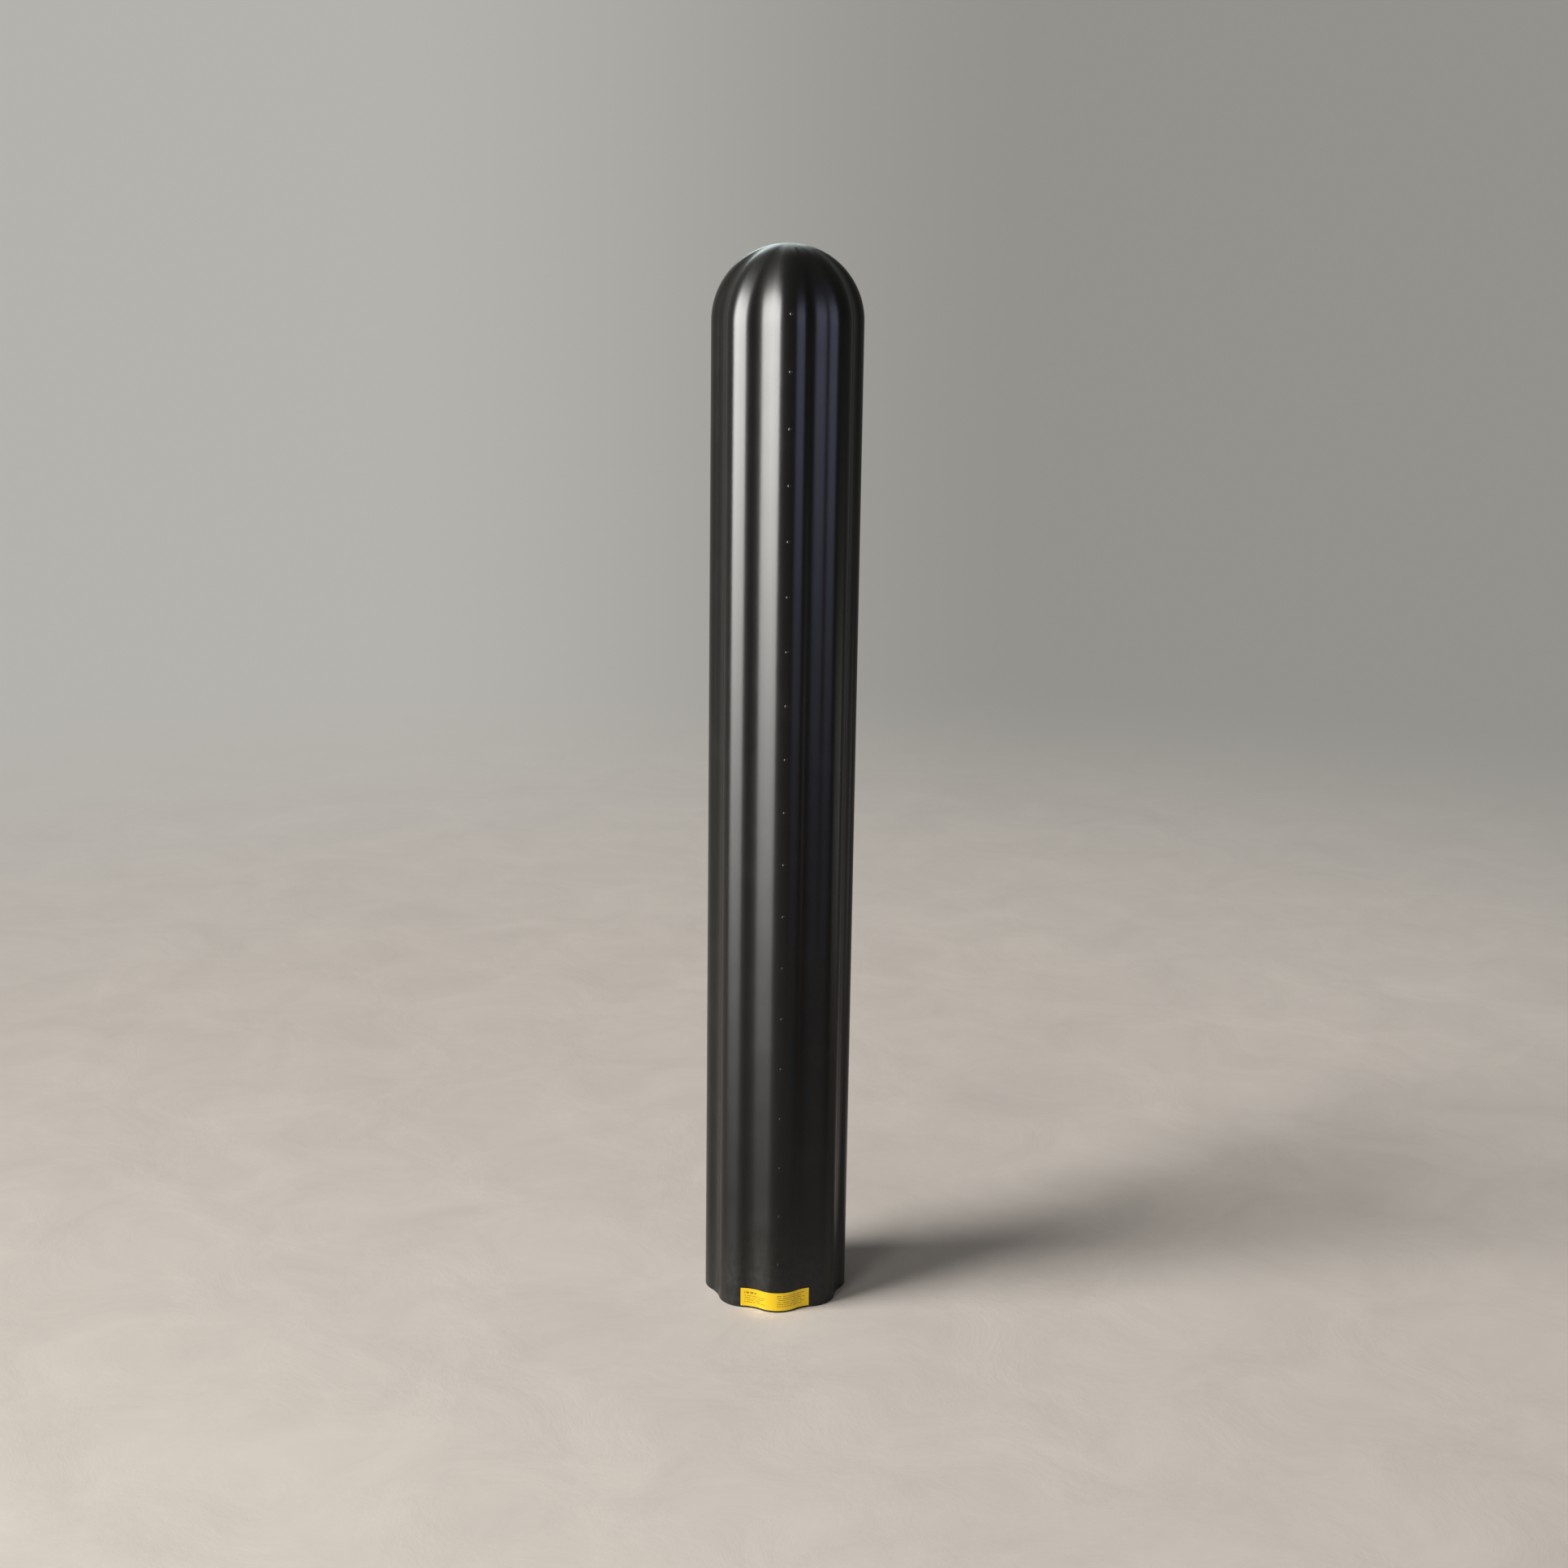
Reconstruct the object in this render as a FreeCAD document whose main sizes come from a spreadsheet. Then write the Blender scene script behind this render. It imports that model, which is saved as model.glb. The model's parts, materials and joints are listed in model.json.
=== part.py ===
import FreeCAD, Part

import math
import os

import Sketcher
from FreeCAD import Placement, Rotation, Vector

# Safety bollard: a fluted plastic cover with a domed top, slipped over a steel pipe post.
# Millimetres.  +Z is up, the origin is the centre of the foot on the floor, and the lobe
# that carries the trim pips and the label faces -Y.

doc = FreeCAD.newDocument("safety_bollard")

# ---------------------------------------------------------------------------
# Driving sizes
# ---------------------------------------------------------------------------
SIZES = [
    # overall
    ("coverHeight", "1536"),          # floor to the top of the dome
    ("postDia", "168.3"),             # outside of the steel pipe, nominal 6 inch
    ("postWall", "7.11"),             # schedule 40 wall
    ("postEdge", "1"),                # chamfer on the pipe's outer edges
    # fluted cover
    ("coverGap", "9.45"),             # from the pipe to the inside of a flute's root
    ("coverWall", "3.2"),
    ("lobeCount", "8"),
    ("fluteDepth", "8.2"),            # from a lobe's crest down to a flute's root
    ("noseRad", "40.5"),              # roundness of a lobe
    ("pipPitch", "76.2"),             # one trim pip every three inches
    ("pipDia", "5.2"),
    ("pipRise", "0.8"),
    ("pipRoot", "0.5"),               # how deep a pip runs into the wall
    ("pipTopMargin", "76.2"),         # no pip closer than this to the top
    # label on the front lobe
    ("labelLeftAngle", "32.8"),
    ("labelRightAngle", "27.8"),
    ("labelBottom", "3"),
    ("labelHeight", "28"),
    ("labelThick", "0.3"),
    ("labelGlue", "0.05"),
    # foot of the post
    ("flangeThick", "15"),
    ("flangeGap", "0.5"),             # radial gap to the pipe, filled by the weld
    ("anchorCount", "4"),
    ("anchorHole", "18"),
    ("anchorEdge", "23.04"),          # from the pipe's bore to an anchor hole's centre
    ("anchorWeb", "14"),              # metal between an anchor hole and the conduit hole
    ("weldLeg", "6"),
    # crossbar that takes the cap bolt
    ("barWidth", "50"),
    ("barThick", "10"),
    ("barClear", "5"),                # free height between the bar's weld and the cap's ring
    ("barGap", "0.5"),                # between the bar's ends and the pipe
    # cap
    ("postHeadroom", "31"),           # pipe's top edge below the foot of the dome
    ("gasketThick", "3"),
    ("gasketInset", "0.5"),
    ("capThick", "8"),
    ("capChamfer", "2"),
    ("spigotGap", "1.04"),
    ("spigotWall", "6"),
    ("spigotDepth", "12"),
    ("spigotWeldLeg", "4"),
    # M16 fasteners
    ("boltDia", "16"),
    ("threadGap", "0.05"),
    ("boltHoleGap", "1"),             # radial, in the cap plate and the crossbar
    ("hexFlats", "24"),
    ("boltHeadHeight", "10"),
    ("boltStickOut", "4.5"),
    ("boltEndChamfer", "1.5"),
    ("nutThick", "13"),
    ("washerDia", "30"),
    ("washerHoleGap", "0.5"),
    ("washerThick", "3"),
    ("lockDia", "27.4"),
    ("lockHoleGap", "0.2"),
    ("lockThick", "3.5"),
    ("lockSlit", "2.2"),
    ("lockSlant", "20"),              # the slit leans this many degrees
    ("nutWeldLength", "11"),
    ("nutWeldLeg", "4"),
    # foam tape that centres the cover
    ("foamWidth", "25"),
    ("foamClear", "0.3"),
    ("foamButt", "6"),
    ("foamEndMargin", "60"),
]

DERIVED = [
    ("postRad", "=postDia / 2"),
    ("boreRad", "=postDia / 2 - postWall"),
    ("rootRad", "=postRad + coverGap + coverWall"),
    ("crestRad", "=rootRad + fluteDepth"),
    ("domeFoot", "=coverHeight - crestRad"),
    ("pipeTop", "=domeFoot - postHeadroom"),
    ("flangeRad", "=boreRad - flangeGap"),
    ("anchorCircleRad", "=boreRad - anchorEdge"),
    ("conduitRad", "=anchorCircleRad - anchorHole / 2 - anchorWeb"),
    ("capUnder", "=pipeTop + gasketThick"),
    ("capTop", "=capUnder + capThick"),
    ("spigotRad", "=boreRad - spigotGap"),
    ("spigotBottom", "=capUnder - spigotDepth"),
    ("spigotInnerRad", "=spigotRad - spigotWall"),
    ("boltRad", "=boltDia / 2"),
    ("boltHoleRad", "=boltRad + boltHoleGap"),
    ("barTop", "=spigotBottom - barClear - weldLeg"),
    ("barBottom", "=barTop - barThick"),
    ("barEndRad", "=boreRad - barGap"),
    ("nutBottom", "=barBottom - nutThick"),
    ("washerTop", "=capTop + washerThick"),
    ("headUnder", "=washerTop + lockThick"),
    ("boltEnd", "=nutBottom - boltStickOut"),
    ("foamRad", "=postRad + coverGap - foamClear"),
    ("foamTopZ", "=pipeTop - foamEndMargin - foamWidth"),
    ("foamMiddleZ", "=(foamTopZ + foamEndMargin) / 2"),
]

sheet = doc.addObject("Spreadsheet::Sheet", "Sizes")
for row, (alias, content) in enumerate(SIZES + DERIVED, start=1):
    sheet.set(f"A{row}", alias)
    sheet.set(f"B{row}", content)
    sheet.setAlias(f"B{row}", alias)
doc.recompute()


def size(alias):
    """The current value of one size in the sheet."""
    return float(sheet.get(alias))


# ---------------------------------------------------------------------------
# Helpers for sketched bodies
# ---------------------------------------------------------------------------
def origin_plane(body, role):
    """One of the body's own origin planes."""
    for feature in body.Origin.OriginFeatures:
        if feature.Role == role:
            return feature
    raise ValueError(f"{body.Name} has no {role}")


def new_body(label):
    """An empty body that carries the piece's name."""
    body = doc.addObject("PartDesign::Body", label)
    body.Label = label
    return body


def flat_sketch(body, name, height=None):
    """A sketch parallel to the floor, at a height taken from the sheet."""
    sketch = body.newObject("Sketcher::SketchObject", name)
    sketch.AttachmentSupport = (origin_plane(body, "XY_Plane"), [""])
    sketch.MapMode = "FlatFace"
    if height:
        sketch.setExpression("AttachmentOffset.Base.z", f"Sizes.{height}")
    return sketch


def upright_sketch(body, name):
    """A sketch on the XZ plane, for profiles turned about Z."""
    sketch = body.newObject("Sketcher::SketchObject", name)
    sketch.AttachmentSupport = (origin_plane(body, "XZ_Plane"), [""])
    sketch.MapMode = "FlatFace"
    return sketch


def centred_circle(sketch, radius):
    """A circle about the origin whose radius is an expression."""
    index = sketch.addGeometry(Part.Circle(Vector(0, 0, 0), Vector(0, 0, 1), 10), False)
    sketch.addConstraint(Sketcher.Constraint("Coincident", index, 3, -1, 1))
    name = f"radius{index}"
    number = sketch.addConstraint(Sketcher.Constraint("Radius", index, 10))
    sketch.renameConstraint(number, name)
    sketch.setExpression(f"Constraints.{name}", radius)
    return index


def offset_circle(sketch, radius, across):
    """A circle on the sketch's X axis, both sizes given as expressions."""
    index = sketch.addGeometry(Part.Circle(Vector(20, 0, 0), Vector(0, 0, 1), 5), False)
    sketch.addConstraint(Sketcher.Constraint("PointOnObject", index, 3, -1))
    number = sketch.addConstraint(Sketcher.Constraint("Radius", index, 5))
    sketch.renameConstraint(number, "holeRadius")
    sketch.setExpression("Constraints.holeRadius", radius)
    number = sketch.addConstraint(Sketcher.Constraint("DistanceX", -1, 1, index, 3, 20))
    sketch.renameConstraint(number, "holeAcross")
    sketch.setExpression("Constraints.holeAcross", across)
    return index


def pad(body, sketch, name, length):
    """A pad of the sketch, upwards, with an expression for its length."""
    feature = body.newObject("PartDesign::Pad", name)
    feature.Profile = sketch
    feature.setExpression("Length", length)
    sketch.Visibility = False
    return feature


def ring_body(label, outer, inner, bottom, height):
    """A flat ring or a tube: two circles padded upwards."""
    body = new_body(label)
    sketch = flat_sketch(body, f"{label}_outline", bottom)
    centred_circle(sketch, outer)
    if inner:
        centred_circle(sketch, inner)
    pad(body, sketch, f"{label}_pad", height)
    return body


def circular_edges(shape, radius, height):
    """Names of the circular edges of one radius at one height."""
    found = []
    for number, edge in enumerate(shape.Edges, start=1):
        curve = edge.Curve
        if not isinstance(curve, Part.Circle):
            continue
        if abs(curve.Radius - radius) < 0.01 and abs(curve.Center.z - height) < 0.01:
            found.append(f"Edge{number}")
    return found


def chamfer(body, edges, length):
    """Chamfer the named edges of the body's last feature."""
    base = body.Tip
    feature = body.newObject("PartDesign::Chamfer", f"{body.Name}_chamfer")
    feature.Base = (base, edges)
    feature.setExpression("Size", length)
    return feature


def weld_ring(label, wall_radius, floor_height, leg, upwards):
    """A fillet weld that runs round inside a bore, in the corner of a flat face.

    The section is a right triangle whose free side bulges outwards as a short arc.
    """
    body = new_body(label)
    sketch = upright_sketch(body, f"{label}_section")
    wall = size(wall_radius)
    base = size(floor_height)
    side = size(leg)
    rise = side if upwards else -side
    corner = Vector(wall, base, 0)
    on_wall = Vector(wall, base + rise, 0)
    on_floor = Vector(wall - side, base, 0)
    along = sketch.addGeometry(Part.LineSegment(on_floor, corner), False)
    up = sketch.addGeometry(Part.LineSegment(corner, on_wall), False)
    face = sketch.addGeometry(Part.LineSegment(on_wall, on_floor), False)
    sketch.addConstraint(Sketcher.Constraint("Coincident", along, 2, up, 1))
    sketch.addConstraint(Sketcher.Constraint("Coincident", up, 2, face, 1))
    sketch.addConstraint(Sketcher.Constraint("Coincident", face, 2, along, 1))
    sketch.addConstraint(Sketcher.Constraint("Horizontal", along))
    sketch.addConstraint(Sketcher.Constraint("Vertical", up))
    limits = [
        ("wallRadius", Sketcher.Constraint("DistanceX", -1, 1, along, 2, wall), wall_radius),
        ("floorHeight", Sketcher.Constraint("DistanceY", -1, 1, along, 2, base), floor_height),
        ("legAlong", Sketcher.Constraint("DistanceX", along, 1, along, 2, side), leg),
    ]
    if upwards:
        limits.append(("legUp", Sketcher.Constraint("DistanceY", up, 1, up, 2, side), leg))
    else:
        limits.append(("legUp", Sketcher.Constraint("DistanceY", up, 2, up, 1, side), leg))
    for name, constraint, alias in limits:
        number = sketch.addConstraint(constraint)
        sketch.renameConstraint(number, name)
        sketch.setExpression(f"Constraints.{name}", f"Sizes.{alias}")
    turn = body.newObject("PartDesign::Revolution", f"{label}_turn")
    turn.Profile = sketch
    turn.ReferenceAxis = (sketch, ["V_Axis"])
    turn.Angle = 360
    sketch.Visibility = False
    return body


# ---------------------------------------------------------------------------
# Fluted outline
# ---------------------------------------------------------------------------
def flute_arcs(inset):
    """Arcs of the closed fluted outline, drawn inset from the outside skin.

    Each lobe's nose is an arc about a centre on the lobe's axis, and each flute is an arc
    about a centre outside it, tangent to both noses.  Insetting shortens the first radius
    and lengthens the second, so the wall keeps one thickness.  Returns three poles and the
    middle weight for every arc, in order.
    """
    count = int(size("lobeCount"))
    crest = size("crestRad")
    root = size("rootRad")
    nose = size("noseRad")
    step = 2 * math.pi / count
    half = step / 2
    nose_centre = crest - nose
    top = nose ** 2 - nose_centre ** 2 - root ** 2 + 2 * nose_centre * root * math.cos(half)
    flute = top / (2 * (root - nose_centre * math.cos(half) - nose))
    flute_centre = root + flute
    reach_x = flute_centre * math.cos(half) - nose_centre
    reach_y = flute_centre * math.sin(half)
    lean = math.atan2(reach_y, reach_x)       # direction of the tangent point from the nose
    nose_radius = nose - inset
    flute_radius = flute + inset
    arcs = []
    for lobe in range(count):
        axis = -math.pi / 2 + lobe * step
        centre = Vector(nose_centre * math.cos(axis), nose_centre * math.sin(axis), 0)
        arcs.append(arc_poles(centre, nose_radius, axis - lean, axis + lean))
        valley = axis + half
        centre = Vector(flute_centre * math.cos(valley), flute_centre * math.sin(valley), 0)
        start = axis + lean + math.pi
        finish = axis + step - lean + math.pi
        arcs.append(arc_poles(centre, flute_radius, start, finish))
    return arcs


def arc_poles(centre, radius, start, finish):
    """The three poles and the middle weight of an exact circular arc."""
    half = (finish - start) / 2
    middle = (start + finish) / 2
    first = centre + Vector(math.cos(start), math.sin(start), 0) * radius
    last = centre + Vector(math.cos(finish), math.sin(finish), 0) * radius
    reach = radius / math.cos(half)
    control = centre + Vector(math.cos(middle), math.sin(middle), 0) * reach
    return [first, control, last], math.cos(half)


def shared_ends(arcs):
    """Make neighbouring arcs meet in exactly the same point."""
    for index, (poles, _) in enumerate(arcs):
        following, _ = arcs[(index + 1) % len(arcs)]
        poles[2] = following[0]
    return arcs


def rational_face(grid, weights):
    """An exact quadratic patch from a three by three grid of poles."""
    surface = Part.BSplineSurface()
    surface.buildFromPolesMultsKnots(grid, [3, 3], [3, 3], [0, 1], [0, 1], False, False, 2, 2,
                                     weights)
    return surface.toShape()


def wall_faces(arcs, bottom, top):
    """Upright faces under the arcs, from one height to another."""
    faces = []
    for poles, weight in arcs:
        low = [Vector(p.x, p.y, bottom) for p in poles]
        curve = Part.BSplineCurve()
        curve.buildFromPolesMultsKnots(low, [3, 3], [0, 1], False, 2, [1, weight, 1])
        faces.append(curve.toShape().extrude(Vector(0, 0, top - bottom)))
    return faces


def dome_faces(arcs, foot, radius):
    """Melon dome: every level is the same outline, shrunk along a quarter circle."""
    shrink = [1, 1, 0]
    rise = [0, 1, 1]
    slope_weights = [1, math.sqrt(0.5), 1]
    faces = []
    for poles, weight in arcs:
        grid = []
        weights = []
        for pole, along in zip(poles, [1, weight, 1]):
            column = []
            column_weights = []
            for scale, lift, slope in zip(shrink, rise, slope_weights):
                column.append(Vector(pole.x * scale, pole.y * scale, foot + radius * lift))
                column_weights.append(along * slope)
            grid.append(column)
            weights.append(column_weights)
        faces.append(rational_face(grid, weights))
    return faces


def outline_wire(arcs, height):
    """The closed outline as one wire."""
    edges = []
    for poles, weight in arcs:
        level = [Vector(p.x, p.y, height) for p in poles]
        curve = Part.BSplineCurve()
        curve.buildFromPolesMultsKnots(level, [3, 3], [0, 1], False, 2, [1, weight, 1])
        edges.append(curve.toShape())
    return Part.Wire(edges)


def domed_block(inset, bottom, dome_radius):
    """A solid fluted column with a melon dome, its skin inset from the outside one."""
    arcs = shared_ends(flute_arcs(inset))
    foot = size("domeFoot")
    faces = wall_faces(arcs, bottom, foot)
    faces += dome_faces(arcs, foot, dome_radius)
    faces.append(Part.Face(outline_wire(arcs, bottom)))
    skin = Part.makeCompound(faces)
    skin.sewShape()
    block = Part.Solid(skin.Shells[0])
    if block.Volume < 0:
        block.reverse()
    return block


def pip_shape(height):
    """A low round pip on the front lobe's crest, standing square to the skin."""
    crest = size("crestRad")
    foot = size("domeFoot")
    base = size("pipDia") / 2
    rise = size("pipRise")
    ball = (base ** 2 + rise ** 2) / (2 * rise)
    tilt = math.asin(max(0, height - foot) / crest)
    out = Vector(0, -math.cos(tilt), math.sin(tilt))
    skin = Vector(0, -crest * math.cos(tilt), height)
    start = math.degrees(math.asin((ball - rise - size("pipRoot")) / ball))
    return Part.makeSphere(ball, skin + out * (rise - ball), out, start, 90, 360)


def cover_shape():
    """The open-bottomed fluted shell with its trim pips."""
    wall = size("coverWall")
    crest = size("crestRad")
    outside = domed_block(0, 0, crest)
    inside = domed_block(wall, -wall, crest - wall)
    shell = outside.cut(inside)
    pitch = size("pipPitch")
    pips = []
    height = pitch
    while height <= size("coverHeight") - size("pipTopMargin"):
        pips.append(pip_shape(height))
        height += pitch
    return shell.multiFuse(pips).Solids[0]


def polar(radius, angle, height):
    """A point from its radius, its angle in radians and its height."""
    return Vector(radius * math.cos(angle), radius * math.sin(angle), height)


def label_shape():
    """The thin label, following the front lobe and running into both flutes."""
    glue = size("labelGlue")
    low = size("labelBottom")
    tall = size("labelHeight")
    outer = Part.Face(outline_wire(shared_ends(flute_arcs(-glue - size("labelThick"))), low))
    inner = Part.Face(outline_wire(shared_ends(flute_arcs(-glue)), low))
    ring = outer.cut(inner).extrude(Vector(0, 0, tall))
    reach = 2 * size("crestRad")
    left = -math.pi / 2 - math.radians(size("labelLeftAngle"))
    right = -math.pi / 2 + math.radians(size("labelRightAngle"))
    corners = [Vector(0, 0, low), polar(reach, left, low), polar(reach, right, low)]
    slice_face = Part.Face(Part.makePolygon(corners + corners[:1]))
    return ring.common(slice_face.extrude(Vector(0, 0, tall))).Solids[0]


# ---------------------------------------------------------------------------
# Helpers for primitives and shapes made by functions
# ---------------------------------------------------------------------------
def primitive(kind, name, **expressions):
    """A Part primitive whose properties are bound to expressions."""
    item = doc.addObject(f"Part::{kind}", name)
    for prop, expression in expressions.items():
        item.setExpression(prop.replace("_", "."), expression)
    return item


def combine(kind, name, first, second):
    """Part::Cut or Part::Common of two objects."""
    item = doc.addObject(f"Part::{kind}", name)
    item.Base = first
    item.Tool = second
    return item


def made_shape(label, shape, placement=None):
    """A piece whose outline no sketch or primitive gives."""
    item = doc.addObject("Part::Feature", label)
    item.Shape = shape
    item.Placement = placement or Placement()
    item.Label = label
    return item


def hexagon(name, bottom, height, chamfered_top):
    """A hexagonal prism with its corners turned off at 30 degrees at one end."""
    prism = primitive("Prism", f"{name}_prism", Circumradius="Sizes.hexFlats / sqrt(3)",
                      Height=height, Placement_Base_z=bottom)
    prism.Polygon = 6
    spread = f"Sizes.hexFlats / 2 + {height} * tan(60 deg)"
    radii = {"Radius1": spread, "Radius2": "Sizes.hexFlats / 2"}
    if not chamfered_top:
        radii = {"Radius1": "Sizes.hexFlats / 2", "Radius2": spread}
    cone = primitive("Cone", f"{name}_cone", Height=height, Placement_Base_z=bottom, **radii)
    return combine("Common", f"{name}_hex", prism, cone)


# ---------------------------------------------------------------------------
# Cover and label
# ---------------------------------------------------------------------------
fluted_cover = made_shape("fluted_cover", cover_shape())
safety_label = made_shape("safety_label", label_shape())

# ---------------------------------------------------------------------------
# Post and its foot
# ---------------------------------------------------------------------------
post_pipe = ring_body("post_pipe", "Sizes.postRad", "Sizes.boreRad", None, "Sizes.pipeTop")
doc.recompute()
pipe_edges = circular_edges(post_pipe.Shape, size("postRad"), size("pipeTop"))
pipe_edges += circular_edges(post_pipe.Shape, size("postRad"), 0)
chamfer(post_pipe, pipe_edges, "Sizes.postEdge")

base_flange = ring_body("base_flange", "Sizes.flangeRad", "Sizes.conduitRad", None,
                        "Sizes.flangeThick")
anchor_sketch = flat_sketch(base_flange, "anchor_hole_outline")
offset_circle(anchor_sketch, "Sizes.anchorHole / 2", "Sizes.anchorCircleRad")
anchor_pocket = base_flange.newObject("PartDesign::Pocket", "anchor_hole_cut")
anchor_pocket.Profile = anchor_sketch
anchor_pocket.Type = "Length"
anchor_pocket.setExpression("Length", "Sizes.flangeThick")
anchor_pocket.Reversed = True
anchor_sketch.Visibility = False
doc.recompute()
anchor_pattern = base_flange.newObject("PartDesign::PolarPattern", "anchor_hole_pattern")
anchor_pattern.Originals = [anchor_pocket]
anchor_pattern.Axis = (anchor_sketch, ["N_Axis"])
anchor_pattern.Angle = 360
anchor_pattern.Occurrences = int(size("anchorCount"))
base_flange.Tip = anchor_pattern

weld_ring("flange_weld_bead", "boreRad", "flangeThick", "weldLeg", upwards=True)

# ---------------------------------------------------------------------------
# Crossbar, its nut and their welds
# ---------------------------------------------------------------------------
bar_block = primitive("Box", "bar_block", Length="2 * Sizes.boreRad", Width="Sizes.barWidth",
                      Height="Sizes.barThick", Placement_Base_x="-Sizes.boreRad",
                      Placement_Base_y="-Sizes.barWidth / 2", Placement_Base_z="Sizes.barBottom")
bar_round = primitive("Cylinder", "bar_round", Radius="Sizes.barEndRad", Height="Sizes.barThick",
                      Placement_Base_z="Sizes.barBottom")
bar_hole = primitive("Cylinder", "bar_hole", Radius="Sizes.boltHoleRad", Height="Sizes.barThick",
                     Placement_Base_z="Sizes.barBottom")
bar_plain = combine("Common", "bar_plain", bar_block, bar_round)
cap_crossbar = combine("Cut", "cap_crossbar", bar_plain, bar_hole)
cap_crossbar.Label = "cap_crossbar"


def bar_end_weld(height, rise, direction):
    """A weld along one end of the bar, curved with the pipe's bore."""
    wall = size("boreRad")
    leg = size("weldLeg")
    corners = [Vector(wall - leg, 0, height), Vector(wall, 0, height),
               Vector(wall, 0, height + rise)]
    section = Part.Face(Part.makePolygon(corners + corners[:1]))
    sweep = 2 * math.degrees(math.asin(size("barWidth") / 2 / wall))
    weld = section.revolve(Vector(0, 0, 0), Vector(0, 0, 1), sweep)
    weld.rotate(Vector(0, 0, 0), Vector(0, 0, 1), direction - sweep / 2)
    return weld


end_welds = []
for direction in (0, 180):
    end_welds.append(bar_end_weld(size("barTop"), size("weldLeg"), direction))
    end_welds.append(bar_end_weld(size("barBottom"), -size("weldLeg"), direction))
crossbar_weld_beads = made_shape("crossbar_weld_beads", Part.makeCompound(end_welds))

nut_blank = hexagon("nut", "Sizes.nutBottom", "Sizes.nutThick", chamfered_top=False)
nut_bore = primitive("Cylinder", "nut_bore", Radius="Sizes.boltRad + Sizes.threadGap",
                     Height="Sizes.nutThick", Placement_Base_z="Sizes.nutBottom")
crossbar_nut = combine("Cut", "crossbar_nut", nut_blank, nut_bore)
crossbar_nut.Label = "crossbar_nut"


def nut_weld(direction):
    """A short weld between one flat of the nut and the bar's underside."""
    flat = size("hexFlats") / 2
    leg = size("nutWeldLeg")
    under = size("barBottom")
    half = size("nutWeldLength") / 2
    corners = [Vector(flat, -half, under), Vector(flat + leg, -half, under),
               Vector(flat, -half, under - leg)]
    section = Part.Face(Part.makePolygon(corners + corners[:1]))
    weld = section.extrude(Vector(0, 2 * half, 0))
    weld.rotate(Vector(0, 0, 0), Vector(0, 0, 1), direction)
    return weld


nut_weld_beads = made_shape("nut_weld_beads", Part.makeCompound([nut_weld(90), nut_weld(270)]))

# ---------------------------------------------------------------------------
# Cap, gasket and centring ring
# ---------------------------------------------------------------------------
cap_gasket = ring_body("cap_gasket", "Sizes.postRad - Sizes.gasketInset",
                       "Sizes.boreRad - Sizes.gasketInset", "pipeTop", "Sizes.gasketThick")
cap_spigot_ring = ring_body("cap_spigot_ring", "Sizes.spigotRad", "Sizes.spigotInnerRad",
                            "spigotBottom", "Sizes.spigotDepth")
weld_ring("spigot_weld_bead", "spigotInnerRad", "capUnder", "spigotWeldLeg", upwards=False)
cap_plate = ring_body("cap_plate", "Sizes.postRad", "Sizes.boltHoleRad", "capUnder",
                      "Sizes.capThick")
doc.recompute()
chamfer(cap_plate, circular_edges(cap_plate.Shape, size("postRad"), size("capTop")),
        "Sizes.capChamfer")

# ---------------------------------------------------------------------------
# Cap bolt and its washers
# ---------------------------------------------------------------------------
cap_washer = ring_body("cap_washer", "Sizes.washerDia / 2",
                       "Sizes.boltRad + Sizes.washerHoleGap", "capTop", "Sizes.washerThick")

lock_blank = primitive("Cylinder", "lock_blank", Radius="Sizes.lockDia / 2",
                       Height="Sizes.lockThick", Placement_Base_z="Sizes.washerTop")
lock_bore = primitive("Cylinder", "lock_bore", Radius="Sizes.boltRad + Sizes.lockHoleGap",
                      Height="Sizes.lockThick", Placement_Base_z="Sizes.washerTop")
lock_ring = combine("Cut", "lock_ring", lock_blank, lock_bore)
lock_slit = primitive("Box", "lock_slit", Length="Sizes.lockDia", Width="Sizes.lockSlit",
                      Height="3 * Sizes.lockThick", Placement_Base_y="-Sizes.lockSlit / 2",
                      Placement_Base_z="Sizes.washerTop - Sizes.lockThick")
lock_slit.Placement.Rotation = Rotation(Vector(1, 0, 0), size("lockSlant"))
cap_lock_washer = combine("Cut", "cap_lock_washer", lock_ring, lock_slit)
cap_lock_washer.Label = "cap_lock_washer"

bolt_head = hexagon("bolt_head", "Sizes.headUnder", "Sizes.boltHeadHeight", chamfered_top=True)
bolt_shank = primitive("Cylinder", "bolt_shank", Radius="Sizes.boltRad",
                       Height="Sizes.headUnder - Sizes.boltEnd - Sizes.boltEndChamfer",
                       Placement_Base_z="Sizes.boltEnd + Sizes.boltEndChamfer")
bolt_tip = primitive("Cone", "bolt_tip", Radius1="Sizes.boltRad - Sizes.boltEndChamfer",
                     Radius2="Sizes.boltRad", Height="Sizes.boltEndChamfer",
                     Placement_Base_z="Sizes.boltEnd")
cap_bolt = doc.addObject("Part::MultiFuse", "cap_bolt")
cap_bolt.Shapes = [bolt_head, bolt_shank, bolt_tip]
cap_bolt.Label = "cap_bolt"

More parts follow.
